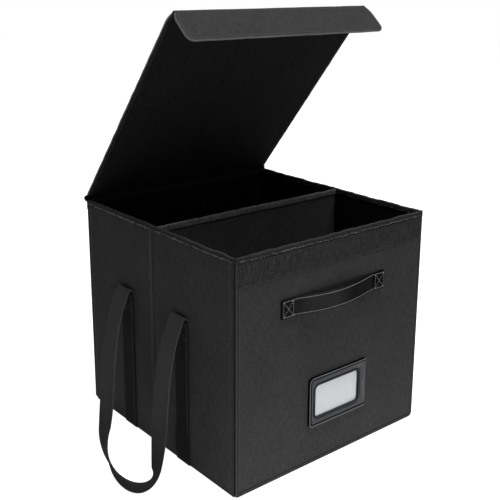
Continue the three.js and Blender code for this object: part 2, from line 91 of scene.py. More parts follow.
def place_camera():
    data = bpy.data.cameras.new("studio_camera")
    camera = bpy.data.objects.new("studio_camera", data)
    bpy.context.scene.collection.objects.link(camera)
    forward = Vector((math.sin(YAW) * math.cos(PITCH), math.cos(YAW) * math.cos(PITCH), math.sin(PITCH)))
    level = Vector((math.cos(YAW), -math.sin(YAW), 0))
    upright = level.cross(forward)
    right = level * math.cos(ROLL) + upright * math.sin(ROLL)
    up = right.cross(forward)
    turn = Matrix((right, up, -forward)).transposed()
    camera.matrix_world = Matrix.Translation(CAMERA_PLACE) @ turn.to_4x4()
    data.sensor_width = SENSOR_WIDTH
    data.lens = FOCAL_PIXELS / IMAGE_WIDTH * SENSOR_WIDTH
    data.shift_x, data.shift_y = SHIFT
    data.clip_start, data.clip_end = CLIP
    bpy.context.scene.camera = camera
    return camera


camera = place_camera()
print("camera", [round(v, 3) for v in camera.location], "lens", round(camera.data.lens, 1))

# %% [markdown]
# Every finish is built from shader nodes. These three helpers add a node, fill its sockets with links or
# plain values, and do sums with it, so that a finish reads as one short recipe.

# %% Node helpers
def fill(tree, node, inputs):
    for name, value in inputs.items():
        if isinstance(value, bpy.types.NodeSocket):
            tree.links.new(value, node.inputs[name])
        else:
            node.inputs[name].default_value = value
    return node


def new_node(tree, kind, inputs=(), **settings):
    node = tree.nodes.new(f"ShaderNode{kind}")
    for key, value in settings.items():
        setattr(node, key, value)
    return fill(tree, node, dict(inputs))


def arithmetic(tree, operation, a, b=0):
    return new_node(tree, "Math", {0: a, 1: b}, operation=operation).outputs[0]


print("node helpers ready")

# %% [markdown]
# The studio is a pale floor that runs far back and a pale surround. White could come from more light,
# but that would wash out the black cloth. So the camera and glossy surfaces see both as plain white,
# while the surround lights the box only dimly, and the box's shadow still falls on the floor.

# %% Floor and surround
def white_from_the_camera(tree, plain, white):
    rays = new_node(tree, "LightPath").outputs
    seen = arithmetic(tree, "MAXIMUM", rays["Is Camera Ray"], rays["Is Glossy Ray"])
    seen = arithmetic(tree, "MAXIMUM", seen, rays["Is Transmission Ray"])
    return new_node(tree, "MixShader", {0: seen, 1: plain, 2: white}).outputs[0]


def make_surround():
    world = bpy.data.worlds.new("studio")
    bpy.context.scene.world = world
    world.use_nodes = True
    tree = world.node_tree
    soft = fill(tree, tree.nodes["Background"], {"Color": (0.95, 0.97, 1, 1), "Strength": 0.06})
    bright = new_node(tree, "Background", {"Color": (1, 1, 1, 1), "Strength": 1})
    mixed = white_from_the_camera(tree, soft.outputs[0], bright.outputs[0])
    fill(tree, tree.nodes["World Output"], {"Surface": mixed})


def make_floor(size, gap):
    bpy.ops.object.select_all(action="DESELECT")
    bpy.ops.mesh.primitive_plane_add(size=size, location=(0, 0, -gap))
    floor = bpy.context.object
    floor.name = "studio_floor"
    paper = bpy.data.materials.new("floor_paper")
    paper.use_nodes = True
    tree = paper.node_tree
    plain = fill(tree, tree.nodes["Principled BSDF"], {
        "Base Color": (0.9, 0.9, 0.9, 1), "Roughness": 0.9, "Specular IOR Level": 0.1})
    glow = new_node(tree, "Emission", {"Strength": 0.965})
    faint = new_node(tree, "BsdfDiffuse", {"Color": (0.5, 0.5, 0.5, 1)})
    white = new_node(tree, "AddShader", {0: glow.outputs[0], 1: faint.outputs[0]})
    mixed = white_from_the_camera(tree, plain.outputs[0], white.outputs[0])
    fill(tree, tree.nodes["Material Output"], {"Surface": mixed})
    floor.data.materials.append(paper)
    floor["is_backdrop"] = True
    print("floor", size, "m wide,", gap / MM, "mm under the box")


make_surround()
make_floor(size=14, gap=0.0004)

# %% [markdown]
# Two soft square lamps do the lighting. The broad one hangs high over the box, a little to its front, so
# that the rim and the lid's edge catch it and the walls fall dark. The small weak one stands low at the
# front left and lifts the left side and the loop. A sun lamp would draw hard shadows that aren't there.

# %% Lamps
def soft_lamp(name, place, aim, size, watts):
    data = bpy.data.lights.new(name, "AREA")
    data.shape = "SQUARE"
    data.size = size
    data.energy = watts
    lamp = bpy.data.objects.new(name, data)
    bpy.context.scene.collection.objects.link(lamp)
    lamp.location = place
    lamp.rotation_euler = (Vector(aim) - Vector(place)).to_track_quat("-Z", "Y").to_euler()
    print("lamp", name, watts, "W")


soft_lamp("overhead", place=(0.1, -0.4, 2.6), aim=(0, -0.1, 0.3), size=1.5, watts=82)
soft_lamp("front_fill", place=(-0.5, -1.1, 0.12), aim=(-0.05, -0.15, 0.04), size=0.5, watts=4.8)
bpy.context.scene.view_settings.view_transform = "Standard"

# %% [markdown]
# Cloth, webbing and thread need the same few patterns: threads at a pitch, a cloudy change of tone, small
# cells, and a bump from any of them. Pictures of cloth would repeat and blur, so the patterns are
# worked out in metres. Cloth reads its piece's own UV map, so the weave turns with the lid and the lip.

# %% Pattern helpers
def coordinates(tree, scale, kind="UV"):
    source = new_node(tree, "TexCoord").outputs[kind]
    return new_node(tree, "Mapping", {"Vector": source, "Scale": scale}).outputs[0]


def place_on(tree, axis, kind="UV", scale=1):
    spot = coordinates(tree, (scale,) * 3, kind)
    return new_node(tree, "SeparateXYZ", {0: spot}).outputs[axis]


def threads(tree, pitch, direction, kind="UV", wander=0.0):
    # a wave's own period is pi/10 of its coordinate
    size = math.pi / 10 / pitch
    return new_node(tree, "TexWave", {
        "Vector": coordinates(tree, (size,) * 3, kind), "Scale": 1, "Distortion": wander, "Detail": 1,
        "Detail Scale": 0.3}, bands_direction=direction).outputs["Fac"]


def mottle(tree, size, detail=3.0, kind="Object", stretch=(1, 1, 1)):
    spot = coordinates(tree, tuple(s / size for s in stretch), kind)
    return new_node(tree, "TexNoise", {
        "Vector": spot, "Scale": 1, "Detail": detail, "Roughness": 0.55}).outputs["Fac"]


def cells(tree, size, feature="F1"):
    spot = coordinates(tree, (1 / size,) * 3, "Object")
    return new_node(tree, "TexVoronoi", {"Vector": spot, "Scale": 1}, feature=feature).outputs["Distance"]


def bump(tree, height, depth, under=None, strength=1.0):
    inputs = {"Height": height, "Distance": depth, "Strength": strength}
    if under is not None:
        inputs["Normal"] = under
    return new_node(tree, "Bump", inputs).outputs[0]


print("pattern helpers ready")

# %% [markdown]
# A pattern becomes a colour through a ramp, and two colours are put together by multiplying them. That
# keeps every change of tone in proportion: a worn patch is paler on the thread tops and in the hollows.

# %% Colour helpers
def new_material(name, colour, roughness):
    material = bpy.data.materials.new(name)
    material.use_nodes = True
    tree = material.node_tree
    shader = fill(tree, tree.nodes["Principled BSDF"], {"Base Color": (*colour, 1), "Roughness": roughness})
    return material, tree, shader


def ramp(tree, factor, stops):
    node = new_node(tree, "ValToRGB", {"Fac": factor})
    elements = node.color_ramp.elements
    while len(elements) < len(stops):
        elements.new(0.5)
    for element, (place, colour) in zip(elements, stops):
        element.position = place
        element.color = (*colour, 1) if isinstance(colour, tuple) else (colour, colour, colour, 1)
    return node.outputs["Color"]


def tint(tree, a, b):
    return new_node(tree, "Mix", {"Factor": 1, "A": a, "B": b}, data_type="RGBA",
                    blend_type="MULTIPLY").outputs["Result"]


def shade(tree, colour, factor, stops):
    return tint(tree, colour, ramp(tree, factor, stops))


def grey(low, high):
    return [(0.25, low), (0.75, high)]


print("colour helpers ready")

# %% [markdown]
# The cover is a matte black plain weave. Real cloth of this kind is not black all over: the thread tops
# catch light, the hollows stay dark, and thicker threads run here and there. A ramp of painted bounce light
# from the floor also pales it towards its foot. A flat black would look like plastic, so the two sets of
# threads are multiplied into one weave that drives colour and bump together. The other cloths are the same
# weave in other tones, some of them painted shade or a painted highlight.

# %% Cover cloth
BOUNCE_LIGHT_STOPS = [(0.0, 1.5), (0.22, 1.24), (0.5, 0.99), (0.8, 0.96)]


def woven_cloth(name, tone, pitch=0.0009, sheen=0.0, patch=0.07, gloss=0.01,
                flow=((0.76, 1.16), (0.68, 1.2)), bounce_lit=False):
    low, high = (tuple(tone * share * c for c in (1, 1, 1.02)) for share in (0.8, 1.18))
    material, tree, shader = new_material(name, high, 0.9)
    warp = threads(tree, pitch, "X", wander=0.5)
    weft = threads(tree, pitch, "Y", wander=0.5)
    weave = arithmetic(tree, "MULTIPLY", warp, weft)
    along = ramp(tree, mottle(tree, 0.0012, 2, "UV", (0.14, 1, 1)), grey(*flow[0]))
    upward = ramp(tree, mottle(tree, 0.0013, 2, "UV", (1, 0.12, 1)), grey(*flow[1]))
    colour = ramp(tree, weave, [(0.1, low), (0.7, high)])
    colour = shade(tree, colour, mottle(tree, patch, 4), grey(0.82, 1.0))
    colour = tint(tree, colour, tint(tree, along, upward))
    if bounce_lit:
        # painted bounce light: the ramp runs up 0.4 m of the box and pales the cloth towards its foot
        colour = shade(tree, colour, place_on(tree, "Z", "Object", 2.5), BOUNCE_LIGHT_STOPS)
    folds = bump(tree, mottle(tree, 0.06, 2), 0.0012, strength=0.35)
    slubs = bump(tree, mottle(tree, 0.003, 3), 0.00025, folds, 0.6)
    fill(tree, shader, {
        "Base Color": colour,
        "Roughness": ramp(tree, mottle(tree, 0.004, 3), [(0.2, 0.84), (0.8, 0.97)]),
        "Normal": bump(tree, weave, 0.00022, slubs),
        "Sheen Weight": sheen, "Sheen Roughness": 0.45, "Sheen Tint": (0.75, 0.76, 0.8, 1),
        "Specular IOR Level": gloss})
    return material


cover_cloth = woven_cloth("cover_cloth", 0.05, sheen=0.01, bounce_lit=True)
lining_cloth = woven_cloth("lining_cloth", 0.0085, 0.0006, patch=0.12, gloss=0.04,
                           flow=((0.05, 2.1), (0.8, 1.1)))
# painted shade and a painted highlight: darker and paler copies of the cover for the side walls' crease
# valley and the ridge beside it
crease_shade_cloth = woven_cloth("crease_shade_cloth", 0.036)
ridge_highlight_cloth = woven_cloth("ridge_highlight_cloth", 0.066, sheen=0.01)
seam_shadow = woven_cloth("seam_shadow", 0.003, 0.0006, gloss=0.03)
print("cloths", cover_cloth.name, lining_cloth.name, crease_shade_cloth.name, ridge_highlight_cloth.name,
      seam_shadow.name)

# %% [markdown]
# Binding tape is a narrow ribbed ribbon folded over a raw edge. The cover's weave would make it look cut
# from the same cloth, so its ribs are wider than its cross threads. On the hems, a ramp across its width
# paints a highlight on the folded edge and shade in the hollow beside it.

# %% Binding tape
EDGE_TAPE = 6 * MM


def binding_tape(name, tone, pitch, sheen=0.0, edge_highlight_and_shade=None):
    low, high = tone * 0.72, tone * 1.2
    material, tree, shader = new_material(name, (high, high, high), 0.8)
    ribs = threads(tree, pitch, "X", wander=0.3)
    cross = threads(tree, pitch * 0.5, "Y", wander=0.5)
    weave = arithmetic(tree, "ADD", ribs, arithmetic(tree, "MULTIPLY", cross, 0.35))
    colour = ramp(tree, arithmetic(tree, "MULTIPLY", weave, 0.74), [(0.1, low), (0.75, high)])
    colour = shade(tree, colour, mottle(tree, 0.02, 3), grey(0.78, 1.0))
    if edge_highlight_and_shade:
        # painted highlight on the folded edge and painted shade in the hollow beside it
        across = arithmetic(tree, "MULTIPLY", place_on(tree, "X"), 1 / EDGE_TAPE)
        colour = shade(tree, colour, arithmetic(tree, "ADD", across, 0.5), edge_highlight_and_shade)
    lumps = bump(tree, mottle(tree, 0.009, 2), 0.0006, strength=0.4)
    fill(tree, shader, {
        "Base Color": colour,
        "Roughness": ramp(tree, mottle(tree, 0.004, 2), [(0.2, 0.72), (0.8, 0.9)]),
        "Normal": bump(tree, weave, 0.00025, lumps),
        "Sheen Weight": sheen, "Sheen Roughness": 0.4, "Specular IOR Level": 0.03})
    return material


# a paler copy of the rim's tape, a painted highlight for the rim's top
rim_top_highlight_tape = binding_tape("rim_top_highlight_tape", 0.03, 0.0011, 0.03)
rim_tape = binding_tape("rim_tape", 0.022, 0.0013)
hinge_tape = binding_tape("hinge_tape", 0.007, 0.0012)
# the hems' ramps paint shade across most of the tape and a highlight at its folded edge
lip_hem = binding_tape("lip_hem", 0.05, 0.0011, 0.01, [(0.05, 0.55), (0.3, 0.9), (0.7, 0.6), (0.95, 2.4)])
lid_hem = binding_tape("lid_hem", 0.05, 0.0011, 0.01, [(0.1, 0.12), (0.6, 0.2), (0.88, 0.3), (0.98, 2.2)])
print("tapes", rim_top_highlight_tape.name, rim_tape.name, hinge_tape.name, lip_hem.name, lid_hem.name)

# %% [markdown]
# Fastener pile is a mass of tiny loops or hooks. Hair would be far too heavy for a surface this small, so
# close random cells break it up in colour and bump, and a weak sheen gives the fuzzy edge. The fuzzy
# tape also shows the rows that it was woven in.

# %% Fastener pile
def fastener_pile(name, tone, grain, sheen, ribs=0.0):
    material, tree, shader = new_material(name, (tone,) * 3, 1)
    fuzz = mottle(tree, grain * 1.7, 4)
    height = arithmetic(tree, "ADD", arithmetic(tree, "MULTIPLY", cells(tree, grain), 0.5), fuzz)
    colour = ramp(tree, fuzz, [(0.3, tone * 0.45), (0.7, tone * 1.5)])
    colour = shade(tree, colour, mottle(tree, 0.015, 3), grey(0.75, 1.0))
    if ribs:
        rows = mottle(tree, ribs, 2, "UV", (1, 0.06, 1))
        height = arithmetic(tree, "ADD", height, rows)
        colour = shade(tree, colour, rows, [(0.35, 0.5), (0.65, 1.2)])
    fill(tree, shader, {
        "Base Color": colour,
        "Roughness": ramp(tree, fuzz, [(0.2, 0.9), (0.8, 1.0)]),
        "Normal": bump(tree, height, 0.0007),
        "Sheen Weight": sheen, "Sheen Roughness": 0.6, "Specular IOR Level": 0.02})
    return material


loop_pile = fastener_pile("loop_pile", 0.032, 0.0011, 0.015, ribs=0.0012)
# painted light: a much paler copy of the pile for the divider's top, which lies in the lid's shade
lit_divider_pile = fastener_pile("lit_divider_pile", 0.12, 0.0011, 0.015, ribs=0.0012)
hook_pile = fastener_pile("hook_pile", 0.014, 0.0008, 0.1)
print("piles", loop_pile.name, lit_divider_pile.name, hook_pile.name)

# %% [markdown]
# Carrying webbing is a thick flat weave. Along its length run broad ribs, each crossed by slanting
# threads, and both edges end in a smooth, paler selvedge. The UV map gives the way across in u and the
# way along in v, so the ribs follow the webbing round its turn, which no flat projection could do. Where
# a length is given, painted shade darkens the webbing halfway along, at the bottom of a loop, where it
# has turned over.

# %% Webbing
WEBBING_WIDTH = 32 * MM
WEBBING_THICK = 1.4 * MM


def webbing_weave(name, tone, length=None):
    material, tree, shader = new_material(name, (tone,) * 3, 0.75)
    ribs = threads(tree, WEBBING_WIDTH / 12, "X")
    slant = threads(tree, 0.0016, "DIAGONAL", wander=0.4)
    rows = arithmetic(tree, "ADD", arithmetic(tree, "MULTIPLY", ribs, 0.5),
                      arithmetic(tree, "MULTIPLY", slant, 0.6))
    colour = ramp(tree, rows, [(0.15, tone * 0.62), (0.95, tone * 1.3)])
    colour = shade(tree, colour, mottle(tree, 0.03, 3), grey(0.8, 1.0))
    across = arithmetic(tree, "ABSOLUTE", place_on(tree, "X"))
    edge = arithmetic(tree, "MULTIPLY", across, 2 / WEBBING_WIDTH)
    colour = shade(tree, colour, edge, [(0.86, 1.0), (0.9, 0.7), (0.95, 1.8), (1.0, 1.8)])
    if length:
        # painted shade, darkest at the bottom of the loop
        from_middle = arithmetic(tree, "SUBTRACT", place_on(tree, "Y"), length / 2)
        share = arithmetic(tree, "MULTIPLY", arithmetic(tree, "ABSOLUTE", from_middle), 2 / length)
        colour = shade(tree, colour, share, [(0.0, 0.42), (0.22, 0.42), (0.5, 1.0)])
    fibres = bump(tree, mottle(tree, 0.0012, 2), 0.00012, strength=0.6)
    fill(tree, shader, {
        "Base Color": colour,
        "Roughness": ramp(tree, mottle(tree, 0.003, 2), [(0.2, 0.62), (0.8, 0.85)]),
        "Normal": bump(tree, rows, 0.00035, fibres),
        "Sheen Weight": 0.004, "Sheen Roughness": 0.35, "Specular IOR Level": 0.02})
    return material


loop_webbing = webbing_weave("loop_webbing", 0.042, length=0.6)
# painted shade: the sewn straps lie in the loops' shadow, so their webbing is made far darker than the
# loops'
shaded_sewn_webbing = webbing_weave("shaded_sewn_webbing", 0.009)
print("webbing", loop_webbing.name, shaded_sewn_webbing.name)

# %% [markdown]
# The pull strap is coated cloth with a fine leather grain and a gloss. Small rounded cells make the
# grain, rubbing dulls the gloss in patches, and a painted sheen pales the left half of its span. The
# sewing thread is a thin twisted cord, striped on a slant.

# %% Strap and thread
STRAP_SHEEN_STOPS = [(0.15, 1.5), (0.3, 4.2), (0.45, 4.2), (0.53, 2.4), (0.62, 0.6)]


def grained_strap(name):
    material, tree, shader = new_material(name, (0.012, 0.012, 0.012), 0.3)
    grain = cells(tree, 0.0016, "SMOOTH_F1")
    colour = ramp(tree, grain, [(0.1, 0.007), (0.9, 0.003)])
    colour = shade(tree, colour, mottle(tree, 0.03, 3), grey(0.8, 1.0))
    # painted sheen: the ramp runs over the middle 0.25 m of the front and pales the strap's left half
    along = arithmetic(tree, "ADD", place_on(tree, "X", "Object", 4), 0.5)
    waves = bump(tree, mottle(tree, 0.02, 2), 0.001, strength=0.3)
    fill(tree, shader, {
        "Base Color": shade(tree, colour, along, STRAP_SHEEN_STOPS),
        "Roughness": ramp(tree, mottle(tree, 0.012, 4), [(0.25, 0.24), (0.75, 0.42)]),
        "Normal": bump(tree, grain, 0.00018, waves, 0.8),
        "Specular IOR Level": 0.008, "Coat Weight": 0.002, "Coat Roughness": 0.2})
    return material


def sewing_thread(name, tone):
    material, tree, shader = new_material(name, (tone,) * 3, 0.6)
    twist = threads(tree, 0.0005, "DIAGONAL", "Object")
    fill(tree, shader, {
        "Base Color": ramp(tree, twist, [(0.2, tone * 0.7), (0.8, tone * 1.15)]),
        "Roughness": ramp(tree, twist, [(0.2, 0.7), (0.8, 0.5)]),
        "Normal": bump(tree, twist, 0.0001)})
    return material


strap_grain = grained_strap("strap_grain")
pale_thread = sewing_thread("pale_thread", 0.2)
dark_thread = sewing_thread("dark_thread", 0.045)
worn_thread = sewing_thread("worn_thread", 0.065)
# painted shade: a near-black thread for rows that stand for shade, under the fuzzy tape and at the rim's
# puckers
shade_thread = sewing_thread("shade_thread", 0.008)
print("threads", pale_thread.name, dark_thread.name, worn_thread.name, shade_thread.name)

# %% [markdown]
# The label holder is moulded in charcoal plastic with a fine speckle. Its ring has painted shade and its
# raised rim a painted highlight. The card is a pulp of pale fibres, left blank. A film of real glass
# would need many light paths for little gain, so the window is a thin haze that is mostly see-through.

# %% Plastic, card and film
def moulded_plastic(name, share=1.0):
    material, tree, shader = new_material(name, (0.036, 0.037, 0.04), 0.45)
    speckle = mottle(tree, 0.0006, 2)
    low, high = (tuple(share * c for c in tone) for tone in ((0.068, 0.069, 0.074), (0.082, 0.083, 0.09)))
    colour = ramp(tree, mottle(tree, 0.03, 3), [(0.3, low), (0.75, high)])
    fill(tree, shader, {
        "Base Color": shade(tree, colour, speckle, grey(0.9, 1.0)),
        "Roughness": ramp(tree, mottle(tree, 0.01, 4), [(0.25, 0.38), (0.75, 0.52)]),
        "Normal": bump(tree, speckle, 0.00008),
        "Specular IOR Level": 0.06})
    return material


def blank_card(name):
    material, tree, shader = new_material(name, (0.66, 0.68, 0.71), 0.8)
    fibres = mottle(tree, 0.0009, 4)
    colour = ramp(tree, mottle(tree, 0.02, 3), [(0.3, (0.62, 0.64, 0.67)), (0.75, (0.7, 0.72, 0.74))])
    fill(tree, shader, {
        "Base Color": shade(tree, colour, fibres, grey(0.93, 1.0)),
        "Roughness": ramp(tree, fibres, [(0.2, 0.75), (0.8, 0.88)]),
        "Normal": bump(tree, fibres, 0.00004)})
    return material


def clear_film(name):
    material, tree, shader = new_material(name, (0.9, 0.92, 0.94), 0.12)
    haze = mottle(tree, 0.015, 3)
    fill(tree, shader, {
        "Roughness": ramp(tree, haze, [(0.3, 0.08), (0.8, 0.2)]),
        "Normal": bump(tree, haze, 0.0003, strength=0.3),
        "Alpha": 0.16, "Specular IOR Level": 0.5})
    return material


holder_plastic = moulded_plastic("holder_plastic")
# copies of one plastic: painted shade for the ring, a painted highlight for the raised rim
holder_ring_shade = moulded_plastic("holder_ring_shade", 0.4)
holder_rim_highlight = moulded_plastic("holder_rim_highlight", 1.5)
card_stock = blank_card("card_stock")
film = clear_film("film")
print("plastics", holder_plastic.name, holder_ring_shade.name, holder_rim_highlight.name, "and", card_stock.name, film.name)

# %% [markdown]
# Modelling starts from a primitive of the right size, and edit mode does the rest. An operator acts on
# all that is selected, so these helpers first deselect everything, and then pick faces or edges by where
# they are. That says more than a list of numbers would, and still holds when a size changes.

# %% Modelling helpers
def deselect():
    if bpy.context.mode != "OBJECT":
        bpy.ops.object.mode_set(mode="OBJECT")
    bpy.ops.object.select_all(action="DESELECT")


def activate(piece):
    deselect()
    piece.select_set(True)
    bpy.context.view_layer.objects.active = piece


@contextmanager
def edit_mode(piece):
    activate(piece)
    bpy.ops.object.mode_set(mode="EDIT")
    bpy.ops.mesh.select_all(action="SELECT")
    yield
    bpy.ops.object.mode_set(mode="OBJECT")


def primitive(name, operator, **settings):
    deselect()
    operator(**settings)
    piece = bpy.context.object
    piece.name = piece.data.name = name
    return piece


def block(name, low, high):
    low, high = Vector(low), Vector(high)
    piece = primitive(name, bpy.ops.mesh.primitive_cube_add, size=1, location=(low + high) / 2,
                      scale=high - low)
    bpy.ops.object.transform_apply(location=True, rotation=True, scale=True)
    return piece


def pick(piece, faces=None, edges=None):
    activate(piece)
    bpy.ops.object.mode_set(mode="EDIT")
    bpy.ops.mesh.select_all(action="DESELECT")
    bpy.ops.mesh.select_mode(type="FACE" if faces else "EDGE")
    mesh = bmesh.from_edit_mesh(piece.data)
    mesh.normal_update()
    if faces:
        for face in mesh.faces:
            face.select = faces(face.calc_center_median(), face.normal)
    else:
        for edge in mesh.edges:
            a, b = (v.co for v in edge.verts)
            edge.select = edges((a + b) / 2, (b - a).normalized())
    mesh.select_flush_mode()
    bmesh.update_edit_mesh(piece.data)


def round_edges(piece, edges, radius, steps=3):
    pick(piece, edges=edges)
    bpy.ops.mesh.bevel(offset=radius, segments=steps, affect="EDGES")
    bpy.ops.object.mode_set(mode="OBJECT")


print("modelling helpers ready")

# %% [markdown]
# Cloth is never quite flat. A piece is cut into fine slices first, because a loop cut needs a window, and
# its points are then moved a little by a noise that reads where they are. Such a noise gives the same
# waves on each run, where random numbers would need a seed.

# %% Shaping helpers
def slices(piece, axis, places):
    with edit_mode(piece):
        for place in places:
            bpy.ops.mesh.select_all(action="SELECT")
            point, normal = [0, 0, 0], [0, 0, 0]
            point[axis], normal[axis] = place, 1
            bpy.ops.mesh.bisect(plane_co=point, plane_no=normal)


def evenly(low, high, step):
    count = max(1, round((high - low) / step))
    return [low + (high - low) * i / count for i in range(1, count)]


def reshape(piece, move):
    for vertex in piece.data.vertices:
        vertex.co = move(vertex.co.copy())
    piece.data.update()


def modifier(piece, kind, **settings):
    activate(piece)
    added = piece.modifiers.new(kind.lower(), kind)
    for key, value in settings.items():
        setattr(added, key, value)
    bpy.ops.object.modifier_apply(modifier=added.name)


def waviness(place, size, depth, seed=0.0):
    return depth * noise.noise(Vector(place) / size + Vector((seed, seed * 0.7, -seed)))


def clamped(share):
    return max(0.0, min(1.0, share))


def smooth_share(share):
    share = clamped(share)
    return share * share * (3 - 2 * share)


print("shaping helpers ready")

# %% [markdown]
# Each piece is finished alike. Its UV map is a flat projection in metres for each way that its faces
# look, which keeps the weave straight on boards. Its place goes into its mesh, it stands for the model's
# own solids, and it rides on a body, so that it moves at the joints.

# %% Finishing helpers
def lay_uv(piece):
    layer = piece.data.uv_layers[0] if piece.data.uv_layers else piece.data.uv_layers.new(name="cloth")
    layer.name = "cloth"
    for face in piece.data.polygons:
        x, y, z = (abs(c) for c in face.normal)
        if z >= x and z >= y:
            across, along = 0, 1
        elif x >= y:
            across, along = 1, 2
        else:
            across, along = 0, 2
        for loop in face.loop_indices:
            spot = piece.data.vertices[piece.data.loops[loop].vertex_index].co
            layer.data[loop].uv = (spot[across], spot[along])


def facets(piece):
    return sum(len(p.vertices) - 2 for p in piece.data.polygons)


def finish_piece(piece, body, slot, *materials, smooth=35, stands_for=(), placed=None, mapped=False):
    if mapped:
        lay_uv(piece)
    for material in materials:
        piece.data.materials.append(material)
    activate(piece)
    if placed is not None:
        piece.matrix_world = placed
        bpy.ops.object.transform_apply(location=True, rotation=True, scale=True)
    bpy.ops.object.shade_smooth_by_angle(angle=math.radians(smooth))
    if stands_for:
        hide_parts(*stands_for)
    if body:
        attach(piece, body)
    print(piece.name, facets(piece), "triangles")
    return piece


print("finishing helpers ready")

# %% [markdown]
# Stitches are what make cloth look sewn. One stitch is modelled: a small round grain that is stretched
# along its row and half sunk in the cloth. It is copied along lines at an even pitch, turned to follow
# them. A bump could draw them, but it would vanish at the outline and leave no stitch in the mesh.

# %% Stitching
def stitch_shape():
    one = primitive("one_stitch", bpy.ops.mesh.primitive_uv_sphere_add, segments=6, ring_count=5,
                    radius=0.5, location=(0, 0, 0))
    with edit_mode(one):
        bpy.ops.transform.rotate(value=math.pi / 2, orient_axis="Y", center_override=(0, 0, 0))
    corners = [v.co.copy() for v in one.data.vertices]
    faces = [tuple(p.vertices) for p in one.data.polygons]
    bpy.data.objects.remove(one)
    return corners, faces


STITCH_CORNERS, STITCH_FACES = stitch_shape()


def along_line(points, pitch):
    places = []
    carried = pitch / 2
    for a, b in zip(points, points[1:]):
        a, b = Vector(a), Vector(b)
        run = (b - a).length
        if run < 1e-9:
            continue
        while carried < run:
            places.append((a.lerp(b, carried / run), (b - a) / run))
            carried += pitch
        carried -= run
    return places


def stitch_mesh(name, lines, pitch=0.0036, length=0.0027, thickness=0.0006, sunk=0.1, uneven=0.0):
    points, polygons = [], []
    for path, outward in lines:
        outward = Vector(outward)
        for place, run in along_line(path, pitch):
            out = (outward - run * run.dot(outward)).normalized()
            across = out.cross(run)
            start = len(points)
            share = 1 + uneven * noise.noise(place / 0.003)
            astray = uneven * thickness * noise.noise(place / 0.004)
            middle = place - out * thickness * sunk + across * astray
            for c in STITCH_CORNERS:
                around = (across * c.y + out * c.z) * thickness * share
                points.append(middle + run * c.x * length * share + around)
            polygons += [tuple(start + i for i in face) for face in STITCH_FACES]
    mesh = bpy.data.meshes.new(name)
    mesh.from_pydata(points, [], polygons)
    piece = bpy.data.objects.new(name, mesh)
    bpy.context.scene.collection.objects.link(piece)
    return piece


print("one stitch", len(STITCH_FACES), "faces")

# %% [markdown]
# The front and back are boards with the cloth drawn over them and sewn to the wrap cloth at a welt. Two
# thin boxes would show a plain edge there. So an inset makes the welt's width, a narrow one is pushed in
# as the seam, and the outer edges are beveled, because cloth never turns a sharp corner. The two lower
# corners are round.

# %% Front and back panels
WELT = 4 * MM
PANEL_TOP = 0.3278


def face_panel(word, side):
    low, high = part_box(f"{word}_welt")
    face_y = low.y if side < 0 else high.y
    piece = block(f"{word}_cloth", (low.x, low.y, low.z + 0.0002), (high.x, high.y, PANEL_TOP))

    def outer_rim(middle, run):
        return abs(middle.y - face_y) < 0.0001 and abs(run.y) < 0.1 and middle.z < PANEL_TOP - 0.0001

    round_edges(piece, lambda middle, run: abs(run.y) > 0.9 and middle.z < low.z + 0.001, 7 * MM, 6)
    round_edges(piece, outer_rim, 1.1 * MM)
    pick(piece, faces=lambda middle, normal: normal.y * side > 0.995)
    bpy.ops.mesh.inset(thickness=WELT)
    bpy.ops.mesh.inset(thickness=0.45 * MM)
    bpy.ops.transform.translate(value=(0, -side * 1.1 * MM, 0))
    bpy.ops.mesh.inset(thickness=0.45 * MM)
    bpy.ops.mesh.inset(thickness=0.7 * MM)
    bpy.ops.transform.translate(value=(0, side * 1.0 * MM, 0))
    bpy.ops.object.mode_set(mode="OBJECT")
    slices(piece, 0, evenly(low.x, high.x, 0.01))
    slices(piece, 2, evenly(low.z, PANEL_TOP, 0.01))

    def settle(co):
        from_edge = min(high.x - abs(co.x), co.z - low.z) - 6 * MM
        if from_edge > 0 and abs(co.y - face_y) < 0.4 * MM:
            wave = waviness((co.x, side, co.z), 0.07, 0.7 * MM, 2.4)
            co.y += side * wave * smooth_share(from_edge / 0.03)
        return co

    reshape(piece, settle)
    seam_shade, inside = 1, 2
    for face in piece.data.polygons:
        depths = [(piece.data.vertices[i].co.y - face_y) * -side for i in face.vertices]
        out = face.normal.y * side
        at_side = abs(face.center.x) > high.x - 1.2 * MM and face.area < 0.004
        # the seam's recess and the narrow bevel at each side corner take seam_shadow, a painted shade
        if out > 0.7 and min(depths) > 0.8 * MM and max(depths) < 3 * MM:
            face.material_index = seam_shade
        elif out < -0.9:
            face.material_index = inside
        elif at_side and 0.05 < out < 0.99 and max(depths) < 1.3 * MM and min(depths) < 0.9 * MM:
            face.material_index = seam_shade
    finish_piece(piece, "case", "cover", cover_cloth, seam_shadow, lining_cloth,
                 stands_for=(f"{word}_panel", f"{word}_welt"), mapped=True)


face_panel("front", -1)
face_panel("back", 1)

# %% [markdown]
# Each side wall is one length of cloth over two boards, with a crease between them where an empty box
# folds flat. Two boxes side by side would leave a gap there. A fine grid takes the whole shape instead:
# a valley at the crease, a soft ridge on each side of it, slow waves where nothing holds the cloth, and a
# rolled foot. A solidify gives it the board's thickness.

# %% Side walls
HALF_WIDTH = 0.175
CREASE_Y = 3 * MM
WALL_FOOT, WALL_TOP = 0.0002, 0.3245
WALL_THICK, FOOT_ROLL = 3.6 * MM, 3 * MM


def side_relief(y, z):
    from_crease = (y - CREASE_Y) / MM
    valley = -0.6 * MM * math.exp(-((from_crease / 2.4) ** 2))
    ridge = 1.2 * MM * math.exp(-(((abs(from_crease) - 7) / 4.5) ** 2))
    fade = clamped(z / 0.03) * clamped((0.318 - z) / 0.02)
    waves = (waviness((0, y, z / 3), 0.03, 0.8 * MM, 3.1) + waviness((0, y, z), 0.09, 1.0 * MM, 6.6)) * fade
    edge = clamped((0.1757 - abs(y)) / 0.02)
    return valley + ridge * (0.35 + 0.65 * fade) + waves * edge


